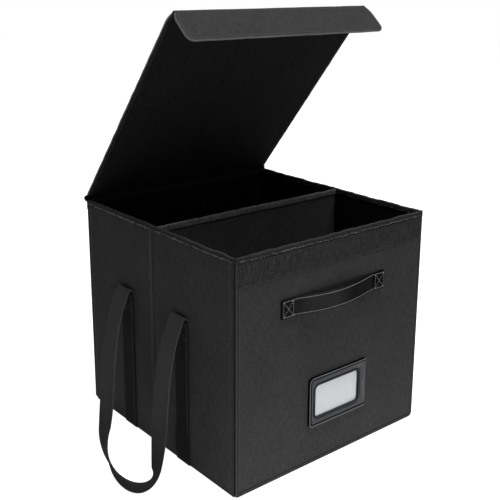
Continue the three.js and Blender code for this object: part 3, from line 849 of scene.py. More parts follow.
def side_wall(word, side):
    stands_for = (f"{word}_front_board", f"{word}_back_board", f"{word}_crease")
    front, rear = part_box(stands_for[0])[0].y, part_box(stands_for[1])[1].y
    piece = primitive(f"{word}_side_cloth", bpy.ops.mesh.primitive_grid_add, x_subdivisions=112,
                      y_subdivisions=54, size=1, location=(0, 0, 0))

    def stand(co):
        # the grid's columns crowd towards the crease
        end = front if co.x < 0 else rear
        y = CREASE_Y + (end - CREASE_Y) * abs(co.x * 2) ** 1.6
        z = WALL_FOOT + (co.y + 0.5) * (WALL_TOP - WALL_FOOT)
        rolled = FOOT_ROLL - math.sqrt(FOOT_ROLL**2 - max(0.0, FOOT_ROLL - z) ** 2)
        return Vector((side * (HALF_WIDTH + side_relief(y, z) - rolled), y, z))

    reshape(piece, stand)
    if sum(p.normal.x for p in piece.data.polygons) * side < 0:
        with edit_mode(piece):
            bpy.ops.mesh.flip_normals()
    modifier(piece, "SOLIDIFY", thickness=WALL_THICK, offset=-1)
    inside, seam_shade, crease_shade, ridge_highlight = 1, 2, 3, 4
    for face in piece.data.polygons:
        y = face.center.y
        if face.normal.x * side < -0.5:
            face.material_index = inside
        # the last millimetre at each end of the wall takes seam_shadow, a painted shade where it meets the
        # panels
        elif y < front + 1.0 * MM or y > rear - 1.0 * MM:
            face.material_index = seam_shade
        # the crease's valley takes painted shade, and the ridge just behind it a painted highlight
        elif abs(y - CREASE_Y) < 0.9 * MM:
            face.material_index = crease_shade
        elif 2.2 * MM < y - CREASE_Y < 5.6 * MM:
            face.material_index = ridge_highlight
    finish_piece(piece, "case", "cover", cover_cloth, lining_cloth, seam_shadow, crease_shade_cloth,
                 ridge_highlight_cloth, stands_for=stands_for, mapped=True)


side_wall("left", -1)
side_wall("right", 1)

# %% [markdown]
# Binding tape is folded over the top of all four walls and sewn through. Four strips would meet in open
# corners, so one ring serves: a plane is inset and the ring that is left is pushed down, its two upper
# edges are rounded, and it is sliced into short lengths so that it can be slightly lumpy, as hand-guided
# binding is.

# %% Rim binding
RIM_LOW, RIM_TOP, RIM_WALL = 0.3225, 0.330, 5.6 * MM
RIM_WIDTH, RIM_DEPTH, RIM_FRONT = 0.3512, 0.3606, -0.1808


def top_edge(middle, run):
    # a straight edge of the top, or one that turns an outer corner
    at_corner = abs(middle.x) > 0.1715 and abs(abs(middle.y) - 0.1778) < 0.0032
    turns = at_corner and run.x * run.y * middle.x * middle.y < 0
    straight = min(abs(run.x), abs(run.y)) < 0.1
    return middle.z > RIM_TOP - 0.0001 and abs(run.z) < 0.1 and (turns or straight)


def lumpy_rim(co):
    if co.z < RIM_LOW + 0.0001:
        return co
    lift = waviness(co, 0.02, 1.2 * MM, 1.7) + waviness(co, 0.007, 1.0 * MM, 5.2)
    sideways = waviness(co, 0.03, 0.6 * MM, 8.4) + waviness(co, 0.008, 0.7 * MM, 3.4)
    sideways *= smooth_share((0.168 - min(abs(co.x), abs(co.y))) / 0.012)
    on_side = abs(co.x) / 0.1758 > abs(co.y) / 0.1805
    co.z += min(lift, 0.0006)
    if on_side:
        co.x += sideways
    else:
        co.y += min(sideways, 0.0001) if co.y > 0 else sideways
    return co


def rim_ring():
    piece = primitive("rim_binding", bpy.ops.mesh.primitive_plane_add, size=1, location=(0, 0, RIM_TOP))
    reshape(piece, lambda co: Vector((co.x * RIM_WIDTH, (co.y + 0.5) * RIM_DEPTH + RIM_FRONT, 0)))
    bpy.ops.object.transform_apply(location=True, rotation=True, scale=True)
    with edit_mode(piece):
        bpy.ops.mesh.inset(thickness=RIM_WALL)
        bpy.ops.mesh.delete(type="FACE")
        bpy.ops.mesh.select_all(action="SELECT")
        bpy.ops.mesh.extrude_region_move(TRANSFORM_OT_translate={"value": (0, 0, RIM_LOW - RIM_TOP)})
        bpy.ops.mesh.select_all(action="SELECT")
        bpy.ops.mesh.normals_make_consistent(inside=False)
    round_edges(piece, lambda middle, run: abs(run.z) > 0.9 and abs(middle.x) > 0.1735, 3 * MM, 4)
    round_edges(piece, top_edge, 1.9 * MM, 4)
    slices(piece, 0, evenly(-0.17, 0.17, 0.006))
    slices(piece, 1, evenly(-0.175, 0.174, 0.006))
    reshape(piece, lumpy_rim)
    lit_top_slot = 1
    # faces that look up take the paler tape, a painted highlight where the rim's top catches the light
    for face in piece.data.polygons:
        face.material_index = lit_top_slot if face.normal.z > 0.75 else 0
    finish_piece(piece, "case", "binding", rim_tape, rim_top_highlight_tape, smooth=50, mapped=True, stands_for=(
        "rim_binding_front", "rim_binding_back", "rim_binding_left", "rim_binding_right"))


rim_ring()

# %% [markdown]
# Straps and tapes are flat strips that follow a path. A beveled curve could do it, but it can't have a
# section of its own and twist too. So each is modelled flat first, as it comes off the roll, with its way
# across in x and its way along in y: a grid is given its thickness and its edge shape, and is then laid
# along its path. Its UV map is taken while it is flat, so the weave follows it.

# %% Strip helpers
def flat_strip(name, width, length, thickness, columns, rows, profile=None):
    piece = primitive(name, bpy.ops.mesh.primitive_grid_add, x_subdivisions=columns, y_subdivisions=rows,
                      size=1, location=(0, 0, 0))
    reshape(piece, lambda co: Vector((co.x * width, (co.y + 0.5) * length, 0)))
    layer = piece.data.uv_layers[0]
    layer.name = "cloth"
    for loop in piece.data.loops:
        spot = piece.data.vertices[loop.vertex_index].co
        layer.data[loop.index].uv = (spot.x, spot.y)
    modifier(piece, "SOLIDIFY", thickness=thickness, offset=0)
    if profile:
        reshape(piece, profile)
    return piece


def direction_at(points, i):
    return (points[min(i + 1, len(points) - 1)] - points[max(i - 1, 0)]).normalized()


def stations_facing(points, facings):
    # one facing serves a whole path, and a list has one for each point
    stations = []
    for i, point in enumerate(points):
        along = direction_at(points, i)
        outward = Vector(facings[i] if isinstance(facings, list) else facings)
        outward = (outward - along * along.dot(outward)).normalized()
        stations.append((point, along.cross(outward), outward))
    return stations


def lengths_along(stations):
    lengths = [0.0]
    for a, b in zip(stations, stations[1:]):
        lengths.append(lengths[-1] + (b[0] - a[0]).length)
    return lengths


def lay_along(piece, stations, whole=None):
    lengths = lengths_along(stations)
    whole = whole or max(v.co.y for v in piece.data.vertices)

    def lay(co):
        at = clamped(co.y / whole) * lengths[-1]
        i = max(0, min(len(stations) - 2, bisect_right(lengths, at) - 1))
        share = (at - lengths[i]) / max(lengths[i + 1] - lengths[i], 1e-9)
        middle, across, outward = (a.lerp(b, share) for a, b in zip(stations[i], stations[i + 1]))
        return middle + across.normalized() * co.x + outward.normalized() * co.z

    reshape(piece, lay)


print("strip helpers ready")

# %% [markdown]
# The carrying loops are webbing that folds over where it leaves the side, leans out, and makes half a
# turn on its way round the bottom. The left one has slumped forwards on to the floor. A cloth simulation
# would find a shape of its own, away from the model's loop, so the path repeats the model's own formula.

# %% Path of the carrying loops
LEAN, FOLD_RADIUS, FOLD_STEPS = math.radians(23.7), 3.3 * MM, 12
LOOP_HALF, LOOP_LEG, LEG_STEPS, TURN_STEPS = 68 * MM, 185 * MM, 36, 72
LOOP_DEPTH = 0.59 * LOOP_HALF
LOOP_LENGTH = 2 * LOOP_LEG + math.pi * LOOP_HALF


def loop_path(side, slump):
    eye = Vector((side * 179.3 * MM, 3 * MM, 218 * MM))
    down = Vector((side * math.sin(LEAN), 0, -math.cos(LEAN)))
    outward = Vector((side * math.cos(LEAN), 0, math.sin(LEAN)))
    top = eye + outward * FOLD_RADIUS

    def fold(end):
        for i in range(FOLD_STEPS):
            angle = (math.pi - LEAN) * i / FOLD_STEPS
            radial = Vector((-side * math.cos(angle), 0, math.sin(angle)))
            yield eye + Vector((0, end * LOOP_HALF, 0)) + radial * FOLD_RADIUS, radial * end

    def hang(across, drop, length, radial):
        carried = smooth_share((drop / (LOOP_LEG + LOOP_DEPTH)) ** 1.22)
        y = across * (1 - 0.05 * carried) - slump * carried
        start = 0.82 * LOOP_LEG
        turn = math.pi * smooth_share((length - start) / (LOOP_LENGTH - 0.69 * LOOP_LEG - start))
        return top + Vector((0, y, 0)) + down * drop, outward * math.cos(turn) + radial * math.sin(turn)

    def bottom(i):
        angle = math.pi * i / TURN_STEPS
        out, low = math.cos(angle), math.sin(angle)
        radial = (Vector((0, out, 0)) * LOOP_DEPTH + down * low * LOOP_HALF).normalized()
        return hang(LOOP_HALF * out, LOOP_LEG + LOOP_DEPTH * low, LOOP_LEG + LOOP_HALF * angle, radial)

    drops = [LOOP_LEG * i / LEG_STEPS for i in range(LEG_STEPS)]
    path = [*fold(1), *(hang(LOOP_HALF, drop, drop, Vector((0, 1, 0))) for drop in drops),
            *(bottom(i) for i in range(TURN_STEPS + 1)),
            *(hang(-LOOP_HALF, drop, LOOP_LENGTH - drop, Vector((0, -1, 0))) for drop in reversed(drops)),
            *reversed(list(fold(-1)))]
    stations = stations_facing([point for point, facing in path], [facing for point, facing in path])
    for i, (point, across, facing) in enumerate(stations):
        # the webbing lies level where it folds
        if min(i, len(stations) - 1 - i) <= FOLD_STEPS:
            stations[i] = point, Vector((0, math.copysign(1, across.y), 0)), facing
    return stations


left_stations, right_stations = loop_path(-1, 68 * MM), loop_path(1, 0)
for word, stations in (("left", left_stations), ("right", right_stations)):
    print(word, "loop", round(lengths_along(stations)[-1] / MM), "mm of webbing")

# %% [markdown]
# The webbing laid along that path has thicker, rounded selvedges. The loop is one piece, from one fold
# round to the other, and rides on no body.

# %% Loop webbing
def selvedge(co):
    share = abs(co.x) / (WEBBING_WIDTH / 2)
    if share > 0.999:
        co.z *= 0.35
    elif share > 0.86:
        co.z *= 1.12
    return co


def webbing_strip(name, stations, body, stands_for, material, columns, step):
    length = lengths_along(stations)[-1]
    piece = flat_strip(name, WEBBING_WIDTH, length, WEBBING_THICK, columns, round(length / step), selvedge)
    lay_along(piece, stations)
    return finish_piece(piece, body, "webbing", material, smooth=60, stands_for=(stands_for,))


for side, word, stations in ((-1, "left", left_stations), (1, "right", right_stations)):
    loop = webbing_strip(f"{word}_loop_webbing", stations, None, f"{word}_carry_loop", loop_webbing,
                         columns=16, step=0.002)
    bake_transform(loop)

# %% [markdown]
# The same webbing is sewn flat up the sides, from the bottom edge to the fold that each loop hangs
# from. It is laid the same way as the loops, because a block would look like a batten: it is tucked in at
# its foot, and the front one is a little loose just above that.

# %% Side straps
STRAP_STEPS = 40
STRAP_SEAT, STRAP_GAP = 0.1757, 0.3 * MM


def side_strap(side, word, place, slack):
    node = f"{word}_face_strap_{place}"
    low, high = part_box(node)
    middle_y = (low.y + high.y) / 2
    points = []
    for i in range(STRAP_STEPS + 1):
        z = low.z + (high.z - low.z) * i / STRAP_STEPS
        loose = slack * math.sin(math.pi * min(1.0, z / 0.06)) ** 2
        tuck = 3.4 * MM * max(0.0, 1 - z / (5 * MM)) ** 2
        out = STRAP_SEAT + WEBBING_THICK / 2 + STRAP_GAP + loose - tuck
        points.append(Vector((side * out, middle_y, z)))
    webbing_strip(f"{word}_side_strap_{place}", stations_facing(points, (side, 0, 0)), "case", node,
                  shaded_sewn_webbing, columns=12, step=0.004)
    return side, middle_y, low.z, high.z


side_straps = [side_strap(side, word, place, slack)
               for side, word in ((-1, "left"), (1, "right"))
               for place, slack in (("front", 0.5 * MM), ("back", 0))]

# %% [markdown]
# The fuzzy half of the fastener is a wide tape under the rim. A plain box would have a ruled edge, so the
# block is sliced fine and roughened by a fraction of a millimetre, and its face gets the nap of real pile.

# %% Fastener tape on the front
def pile_tape(name, low, high, body, stands_for, material, outward, placed=None):
    # the tape's face looks down the outward axis, and it spreads along x and the axis that is left
    spread = 1 if outward == 2 else 2
    middle = (Vector(low) + Vector(high)) / 2
    piece = block(name, low, high)
    for axis in (0, spread):
        slices(piece, axis, evenly(low[axis], high[axis], 0.0022))

    def rough(co):
        nap = waviness(co, 0.0016, 0.35 * MM, 2.2) + waviness(co, 0.02, 0.25 * MM, 6.1)
        if co[outward] < middle[outward]:
            co[outward] -= nap
        if min(abs(co[spread] - low[spread]), abs(co[spread] - high[spread])) < 0.0001:
            co[spread] += waviness(co, 0.004, 0.4 * MM, 9.3)
        return co

    reshape(piece, rough)
    finish_piece(piece, body, "pile", material, smooth=70, stands_for=(stands_for,), mapped=True,
                 placed=placed)


low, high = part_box("loop_tape")
high.z = 0.3218
pile_tape("loop_fastener", low, high, "case", "loop_tape", loop_pile, outward=1)

# %% [markdown]
# The pull strap is two layers of coated cloth, turned under and sewn down at both ends and bowed out
# between them. Bending needs a window here, so it is modelled flat, thicker at its tabs, with a shallow
# dip under each row of stitches, and strap and stitches are then laid along the bow together.

# %% Front pull strap
PULL_WIDTH, PULL_LENGTH, PULL_TAB, PULL_THICK = 26 * MM, 194 * MM, 22 * MM, 2.4 * MM
PULL_ROW = PULL_WIDTH / 2 - 2.4 * MM
PULL_HEIGHT, PULL_BOW, PULL_SAG, PULL_STEPS = 0.245, 10 * MM, 2 * MM, 120
FRONT_FACE = -0.1803


def pull_path():
    low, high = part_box("front_pull_strap")
    middle_x = (low.x + high.x) / 2
    half, free = PULL_LENGTH / 2, PULL_LENGTH / 2 - PULL_TAB
    points = []
    for i in range(PULL_STEPS + 1):
        x = -half + PULL_LENGTH * i / PULL_STEPS
        rise = (1 - (x / free) ** 2) ** 1.3 if abs(x) < free else 0
        y = FRONT_FACE - 1.3 * MM - PULL_BOW * rise
        points.append(Vector((middle_x + x, y, PULL_HEIGHT - PULL_SAG * rise)))
    return stations_facing(points, (0, -1, 0))


def from_end(y):
    return PULL_LENGTH / 2 - abs(y - PULL_LENGTH / 2)


def tab_rise(y):
    return (1 - smooth_share((from_end(y) - PULL_TAB + 1 * MM) / (2 * MM))) * 1.15 * MM


def pull_profile(co):
    crown = 1 - 0.5 * (abs(co.x) / (PULL_WIDTH / 2)) ** 8
    end = 1 - 0.75 * max(0.0, 1 - from_end(co.y) / (1.2 * MM)) ** 2
    dip = 0.22 * MM * math.exp(-(((abs(co.x) - PULL_ROW) / (0.7 * MM)) ** 2))
    top = co.z > 0
    co.z *= crown * end
    if top:
        co.z += tab_rise(co.y) * crown * end - dip
    return co


stations = pull_path()
strap = flat_strip("pull_strap", PULL_WIDTH, PULL_LENGTH, PULL_THICK, 36, 160, pull_profile)
lay_along(strap, stations)
finish_piece(strap, "case", "pull_strap", strap_grain, smooth=50, stands_for=("front_pull_strap",))
bowed = lengths_along(stations)[-1]
print("pull strap bows over", round((bowed / PULL_LENGTH - 1) * 100, 1), "percent more than its span")

# %% [markdown]
# The strap is sewn along both edges, and through each tab in a box with a cross. The rows are drawn on
# the flat strap, lifted on to the tabs, and take the same path as the strap, so they can't drift from it.

# %% Pull strap stitches
def boxed_cross(left, right, low, high):
    return [((left, low), (right, low)), ((left, high), (right, high)),
            ((left, low), (right, high)), ((left, high), (right, low))]


def raised_on_tab(co):
    co.z += tab_rise(co.y)
    return co


first = 2.6 * MM
rows = [((x, first), (x, PULL_LENGTH - first)) for x in (-PULL_ROW, PULL_ROW)]
rows += boxed_cross(-PULL_ROW, PULL_ROW, first, PULL_TAB - 2.4 * MM)
rows += boxed_cross(-PULL_ROW, PULL_ROW, PULL_LENGTH - PULL_TAB + 2.4 * MM, PULL_LENGTH - first)
lines = [([(*a, 1.05 * MM), (*b, 1.05 * MM)], (0, 0, 1)) for a, b in rows]
sewing = stitch_mesh("pull_strap_stitches", lines, pitch=3.4 * MM, length=2.8 * MM, thickness=1.0 * MM)
reshape(sewing, raised_on_tab)
lay_along(sewing, stations, PULL_LENGTH)
finish_piece(sewing, "case", "pull_strap", pale_thread, smooth=180)

# %% [markdown]
# The label holder is moulded, so every edge has a small radius. It could be built again from a block, but
# the model's solid already has the right shape and only its triangles are loose: a copy is merged, its
# flat faces are made whole again, and its edges are beveled. Four shapes are cut from it first: what is
# too high on its rim, a recess at the window, a ring round that, and a groove inside the rim.

# %% Label holder
PLATE = -0.1833
HOLDER_LEFT, HOLDER_RIGHT, HOLDER_BOTTOM, HOLDER_TOP = -48 * MM, 62 * MM, 58 * MM, 132 * MM
WINDOW_LEFT, WINDOW_RIGHT, WINDOW_BOTTOM, WINDOW_TOP = -37.2 * MM, 47.4 * MM, 0.0715, 0.1189
WINDOW_MIDDLE = 0.0952
WINDOW_DEPTH, GROOVE_DEPTH, RIM_HEIGHT = 1.15 * MM, 0.5 * MM, 0.95 * MM


def cut_away(piece, cutter):
    modifier(piece, "BOOLEAN", operation="DIFFERENCE", object=cutter, solver="EXACT")
    bpy.data.objects.remove(cutter)


def softened_copy(name, node, radius, *cutters):
    piece = bpy.data.objects.new(name, nodes[node].data.copy())
    bpy.context.scene.collection.objects.link(piece)
    piece.data.materials.clear()
    with edit_mode(piece):
        bpy.ops.mesh.remove_doubles(threshold=0.00001)
        bpy.ops.mesh.dissolve_limited(angle_limit=math.radians(2))
    for cutter in cutters:
        cut_away(piece, cutter)
    modifier(piece, "BEVEL", width=radius, segments=3, limit_method="ANGLE",
             angle_limit=math.radians(35), harden_normals=False)
    with edit_mode(piece):
        bpy.ops.mesh.dissolve_degenerate(threshold=0.000005)
    return piece


def rounded_block(name, left, right, bottom, top, front, back, radius):
    piece = block(name, (left, PLATE + front, bottom), (right, PLATE + back, top))
    round_edges(piece, lambda middle, run: abs(run.y) > 0.9, radius, 7)
    return piece


def around_window(name, out, radius, front, back):
    return rounded_block(name, WINDOW_LEFT - out, WINDOW_RIGHT + out, WINDOW_BOTTOM - out, WINDOW_TOP + out,
                         front, back, radius)


def ring_cutter(inner_edge, outer_edge):
    outer = around_window("ring", outer_edge, 9.5 * MM, -3 * MM, GROOVE_DEPTH)
    cut_away(outer, around_window("ring_core", inner_edge, 8.6 * MM, -4 * MM, 3 * MM))
    return outer


def groove_cutter(inset, width, left_width):
    # it runs out past the right end, where the holder is open
    near, far = inset, inset + width
    outer = rounded_block("groove", HOLDER_LEFT + near, HOLDER_RIGHT + 9 * MM, HOLDER_BOTTOM + near,
                          HOLDER_TOP - near, -3 * MM, GROOVE_DEPTH, 5 * MM)
    inner = rounded_block("groove_core", HOLDER_LEFT + near + left_width, HOLDER_RIGHT + 12 * MM,
                          HOLDER_BOTTOM + far, HOLDER_TOP - far, -5 * MM, 3 * MM, 3.4 * MM)
    cut_away(outer, inner)
    return outer


window = around_window("window", 0, 6.5 * MM, -3 * MM, WINDOW_DEPTH)
above_rim = block("above_rim", (-0.06, PLATE - 4 * MM, 0.05), (0.07, PLATE - RIM_HEIGHT, 0.14))
ring_groove = ring_cutter(inner_edge=2.3 * MM, outer_edge=3.3 * MM)
rim_groove = groove_cutter(inset=1.9 * MM, width=2.1 * MM, left_width=2.9 * MM)
label_frame = softened_copy("label_frame", "label_holder", 0.25 * MM, above_rim, window, ring_groove,
                            rim_groove)
print("label frame cut,", facets(label_frame), "triangles")

# %% [markdown]
# The holder's plastic is one colour, but its ring is given painted shade, its grooves and outer sides a
# darker painted shade, and its rim a painted highlight. Each face is given its tone by where it is, with no
# texture image.

# %% Label holder's tones
def from_outline(x, z):
    radius = 7 * MM
    corner_x = max(0.0, HOLDER_LEFT + radius - x)
    from_level = abs(z - (HOLDER_BOTTOM + HOLDER_TOP) / 2)
    corner_z = max(0.0, from_level - ((HOLDER_TOP - HOLDER_BOTTOM) / 2 - radius))
    return radius - math.hypot(corner_x, corner_z)


ring, shadow, rim_highlight_slot = 1, 2, 3
points = [v.co for v in label_frame.data.vertices]
for face in label_frame.data.polygons:
    x, y, z = face.center
    to_front = face.normal.y < -0.6
    tall = max(abs(points[i].z - WINDOW_MIDDLE) for i in face.vertices)
    left_most = min(points[i].x for i in face.vertices)
    in_ring = to_front and tall < 26.2 * MM and left_most > WINDOW_LEFT - 2.6 * MM and x < 0.05
    beside = WINDOW_LEFT - 3.2 * MM < x < WINDOW_RIGHT + 3.2 * MM and abs(z - WINDOW_MIDDLE) < 26.5 * MM
    # outer sides and grooves take painted shadow, the ring painted shade, and the rim's front a painted
    # highlight
    if from_outline(x, z) < 0.3 * MM and not to_front:
        face.material_index = shadow
    elif in_ring:
        face.material_index = ring
    elif to_front and y < PLATE - 0.5 * MM:
        face.material_index = rim_highlight_slot
    elif beside and not to_front and y < PLATE + WINDOW_DEPTH:
        face.material_index = ring
    elif PLATE + 0.2 * MM < y < PLATE + GROOVE_DEPTH + 0.1 * MM:
        face.material_index = shadow
finish_piece(label_frame, "case", "label_holder", holder_plastic, holder_ring_shade, seam_shadow, holder_rim_highlight,
             smooth=40, stands_for=("label_holder",))

# %% [markdown]
# The card, the film and the box's own floor are flat, so the model's solids are right as they are. They
# stay, and only get a finish of their own. The floor's weave reads the object's own coordinates, because
# the model's mesh has no UV map.

# %% Card, film and floor board
def refinish(node, material):
    kept = nodes[node]
    kept.data.materials.clear()
    kept.data.materials.append(material)
    for face in kept.data.polygons:
        face.material_index = 0
    print(node, "keeps its shape and takes", material.name)


def floor_cloth():
    material, tree, shader = new_material("floor_cloth", (0.02, 0.02, 0.021), 0.92)
    weave = arithmetic(tree, "MULTIPLY", *(threads(tree, 0.0009, way, "Object") for way in "XY"))
    fill(tree, shader, {
        "Base Color": ramp(tree, weave, [(0.1, 0.013), (0.7, 0.027)]),
        "Roughness": ramp(tree, mottle(tree, 0.004), [(0.2, 0.85), (0.8, 0.97)]),
        "Normal": bump(tree, weave, 0.0003)})
    return material


refinish("label_card", card_stock)
refinish("label_window", film)
refinish("base_panel", floor_cloth())

# %% [markdown]
# Inside lie a loose board on the floor and a divider that stands on it. Both are cloth-covered boards
# with soft edges, which a bevel gives. The divider's top is bound in a fuzzy tape that stands a little
# above the rim: a block with a rounded top, sliced so that it can be uneven.

# %% Loose boards
def covered_board(name, node, slot, material, body, radius, trim=0):
    low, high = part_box(node)
    piece = block(name, low, high - Vector((0, 0, trim)))
    round_edges(piece, lambda middle, run: True, radius)
    finish_piece(piece, body, slot, material, stands_for=(node,), mapped=True)


def divider_top():
    low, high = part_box("divider_binding")
    piece = block("divider_top_binding", low, high)
    round_edges(piece, lambda middle, run: abs(run.x) > 0.9 and middle.z > high.z - 0.0001, 2.2 * MM, 4)
    slices(piece, 0, evenly(low.x, high.x, 0.004))

    def lumpy(co):
        if abs(co.x) < high.x - 0.0002:
            co.y += waviness(co, 0.012, 0.5 * MM, 4.4)
            if co.z > low.z + 0.0005:
                co.z += min(0.0004, waviness(co, 0.015, 0.9 * MM, 7.7))
        return co

    reshape(piece, lumpy)
    finish_piece(piece, "divider", "binding", lit_divider_pile, smooth=60, stands_for=("divider_binding",),
                 mapped=True)


covered_board("base_board", "base_insert", "lining", lining_cloth, "base_insert", 0.9 * MM)
covered_board("divider_board", "divider_panel", "cover", cover_cloth, "divider", 0.8 * MM, trim=7 * MM)
divider_top()

# %% [markdown]
# The lid is modelled shut and flat, with its hinge line at the origin, and is then turned to the angle
# that it stands open at, because every size is easy to read on a flat sheet. It is a thin covered board
# with a dark lining underneath. The lip is made the same way, and turned once more about its fold.

# %% Lid and lip
HINGE = Vector((0, 0.1827, 0.3328))
FOLD_DISTANCE, LID_ANGLE, LIP_ANGLE = 0.36848, -50.5, 92
LID_BACK, LID_FRONT = -0.0068, -0.36448
LIP_BACK, LIP_FRONT = -0.0043, -0.045
COVER_LAYER, LINING_LAYER = (-0.6 * MM, 1.4 * MM), (-1.5 * MM, -0.7 * MM)
lid_place = Matrix.Translation(HINGE) @ Matrix.Rotation(math.radians(LID_ANGLE), 4, "X")
lip_place = (lid_place @ Matrix.Translation((0, -FOLD_DISTANCE, 0))
             @ Matrix.Rotation(math.radians(LIP_ANGLE), 4, "X"))


def lid_sheet(name, layer, y_low, y_high, slot, material, body, placed, stands_for, wave, corner):
    half = HALF_WIDTH - EDGE_TAPE + 0.2 * MM
    piece = block(name, (-half, y_low, layer[0]), (half, y_high, layer[1]))
    if corner:
        round_edges(piece, lambda middle, run: abs(run.z) > 0.9 and middle.y < y_low + 0.001, corner, 5)
    slices(piece, 0, evenly(-half, half, 0.012))
    slices(piece, 1, evenly(y_low, y_high, 0.012))

    def settle(co):
        from_edge = min(half - abs(co.x), co.y - y_low, y_high - co.y)
        co.z += waviness((co.x, co.y, 0), 0.08, wave, 1.6) * smooth_share(from_edge / 0.03)
        return co

    reshape(piece, settle)
    finish_piece(piece, body, slot, material, stands_for=(stands_for,), mapped=True, placed=placed)


for word, body, place, front, back, wave, corner in (
        ("lid", "lid", lid_place, LID_FRONT, LID_BACK, 0.9 * MM, 0),
        ("lip", "lid_lip", lip_place, LIP_FRONT, LIP_BACK, 0.4 * MM, 5 * MM)):
    lid_sheet(f"{word}_cloth", COVER_LAYER, front, back, "cover", cover_cloth, body, place,
              f"{word}_panel", wave, corner)
    lid_sheet(f"{word}_lining_cloth", LINING_LAYER, front, back, "lining", lining_cloth, body, place,
              f"{word}_lining", wave, corner)

# %% [markdown]
# Tape is folded over the lid's two side edges and round the lip's three. A folded tape has a rounded
# outer edge, where it turns, and two inner edges that stand a little proud of the cloth. A bevel on the
# lid couldn't show them, so a thick flat strip with that section is laid along each edge.

# %% Lid and lip bindings
TAPE_THICK, TAPE_COLUMNS, TAPE_STEP = 3.5 * MM, 12, 0.0025
TURN_IN = 4.6 * MM
CORNER_STEPS = 12


def folded_tape(seed):
    def shape(co):
        share = co.x / (EDGE_TAPE / 2)
        outer = max(0.0, (share - 0.55) / 0.45)
        co.z *= 0.1 + 0.9 * math.sqrt(max(0.0, 1 - outer**2))
        if share < -0.9:
            co.z *= 0.86
        co.z *= 1 + 0.1 * waviness((co.y, 0, 0), 0.007, 1, seed)
        co.z += waviness((co.y, 0, co.x), 0.025, 0.25 * MM, seed + 2)
        if share > -0.5:
            co.x += waviness((co.y, 1, 0), 0.012, 0.45 * MM, seed + 5)
        return co

    return shape


def edge_binding(name, points, body, placed, stands_for, seed, hem):
    stations = stations_facing([Vector(p) for p in points], (0, 0, 1))
    length = lengths_along(stations)[-1]
    piece = flat_strip(name, EDGE_TAPE, length, TAPE_THICK, TAPE_COLUMNS, round(length / TAPE_STEP),
                       folded_tape(seed))
    lay_along(piece, stations)
    finish_piece(piece, body, "binding", hem, smooth=55, stands_for=(stands_for,), placed=placed)


def lid_edge_line(side):
    # the edge turns in a little where the lid meets its fold
    x = HALF_WIDTH - EDGE_TAPE / 2
    line = [(side * x, LID_BACK, 0)]
    for i in range(13):
        line.append((side * (x - TURN_IN * (i / 12) ** 2.2), LID_FRONT + 0.014 * (1 - i / 12), 0))
    return line


def lip_edge_line(inset):
    radius = 11 * MM - inset
    x, y = HALF_WIDTH - inset, -0.051 + inset
    turn_in = [(x - TURN_IN * (1 - i / 8) ** 2.2, LIP_BACK - 0.012 * i / 8, 0) for i in range(9)]
    points = [(-px, py, pz) for px, py, pz in turn_in]
    for middle_x, start in ((-x + radius, math.pi), (x - radius, 1.5 * math.pi)):
        for i in range(CORNER_STEPS + 1):
            angle = start + 0.5 * math.pi * i / CORNER_STEPS
            points.append((middle_x + radius * math.cos(angle), y + radius + radius * math.sin(angle), 0))
    return points + turn_in[::-1]


lid_left, lid_right, lip_round = lid_edge_line(-1), lid_edge_line(1)[::-1], lip_edge_line(EDGE_TAPE / 2)
edge_binding("lid_left_tape", lid_left, "lid", lid_place, "lid_binding_left", 1.0, lid_hem)
edge_binding("lid_right_tape", lid_right, "lid", lid_place, "lid_binding_right", 4.0, lid_hem)
edge_binding("lip_edge_tape", lip_round, "lid_lip", lip_place, "lip_binding", 7.0, lip_hem)

# %% [markdown]
# The hooked half of the fastener is sewn inside the lip, where it meets the fuzzy tape when the lid is
# shut. It is the same kind of tape, so the same helper makes it, flat, and the lip's place turns it.

# %% Hook tape
hook_low, hook_high = (-0.164, -0.0428, -2.5 * MM), (0.164, -0.0178, -1.55 * MM)
pile_tape("hook_fastener", hook_low, hook_high, "lid_lip", "hook_tape", hook_pile, outward=2,
          placed=lip_place)

# %% [markdown]
# Two strips of turned cloth do the hinging. One runs up the back and over into the lid, and swells into a
# soft knob at each end. The other bridges the lid and the lip. Each could be cut in two at its joint, but
# it would tear open there, so each is one piece, laid in the shape it has with the lid open.

# %% Hinge cloth and fold cloth
BRIDGE_COLUMNS, BRIDGE_STEP, BEND_STEPS = 58, 0.0012, 8


def rounded_path(corners):
    corners = [Vector(c) for c in corners]
    points = [corners[0]]
    for before, corner, after in zip(corners, corners[1:], corners[2:]):
        a, b = corner.lerp(before, 0.5), corner.lerp(after, 0.5)
        for i in range(BEND_STEPS + 1):
            t = i / BEND_STEPS
            points.append(a.lerp(corner, t).lerp(corner.lerp(b, t), t))
    points.append(corners[-1])
    clean = [points[0]]
    for point in points[1:]:
        if (point - clean[-1]).length > 1e-5:
            clean.append(point)
    return clean


def bridging_cloth(name, corners, material, stands_for, thick, width, seed, centre=0.5, knob=0.0,
                   spread=0.0, narrowing=0.0):
    points = rounded_path(corners)
    across = Vector((1, 0, 0))
    stations = [(point, across, across.cross(direction_at(points, i))) for i, point in enumerate(points)]
    length = lengths_along(stations)[-1]
    piece = flat_strip(name, width, length, thick, BRIDGE_COLUMNS, max(8, round(length / BRIDGE_STEP)))

    def wander(co):
        from_centre = abs(co.y / length - centre) * 2
        bulge = math.sqrt(max(0.0, 1 - (from_centre / 0.42) ** 2))
        at_end = smooth_share((abs(co.x) - width / 2 + 7 * MM) / (4 * MM)) * bulge
        at_middle = smooth_share((width / 2 - abs(co.x)) / 0.01)
        co.z *= 1 + knob * at_end
        co.x *= 1 + spread * bulge / (width / 2)
        co.x *= 1 - narrowing * (1 - from_centre**2) / (width / 2)
        co.z += waviness((co.x, co.y, 0), 0.03, 0.35 * MM, seed) * at_middle
        return co

    reshape(piece, wander)
    lay_along(piece, stations)
    return finish_piece(piece, None, "binding", material, smooth=60, stands_for=stands_for)


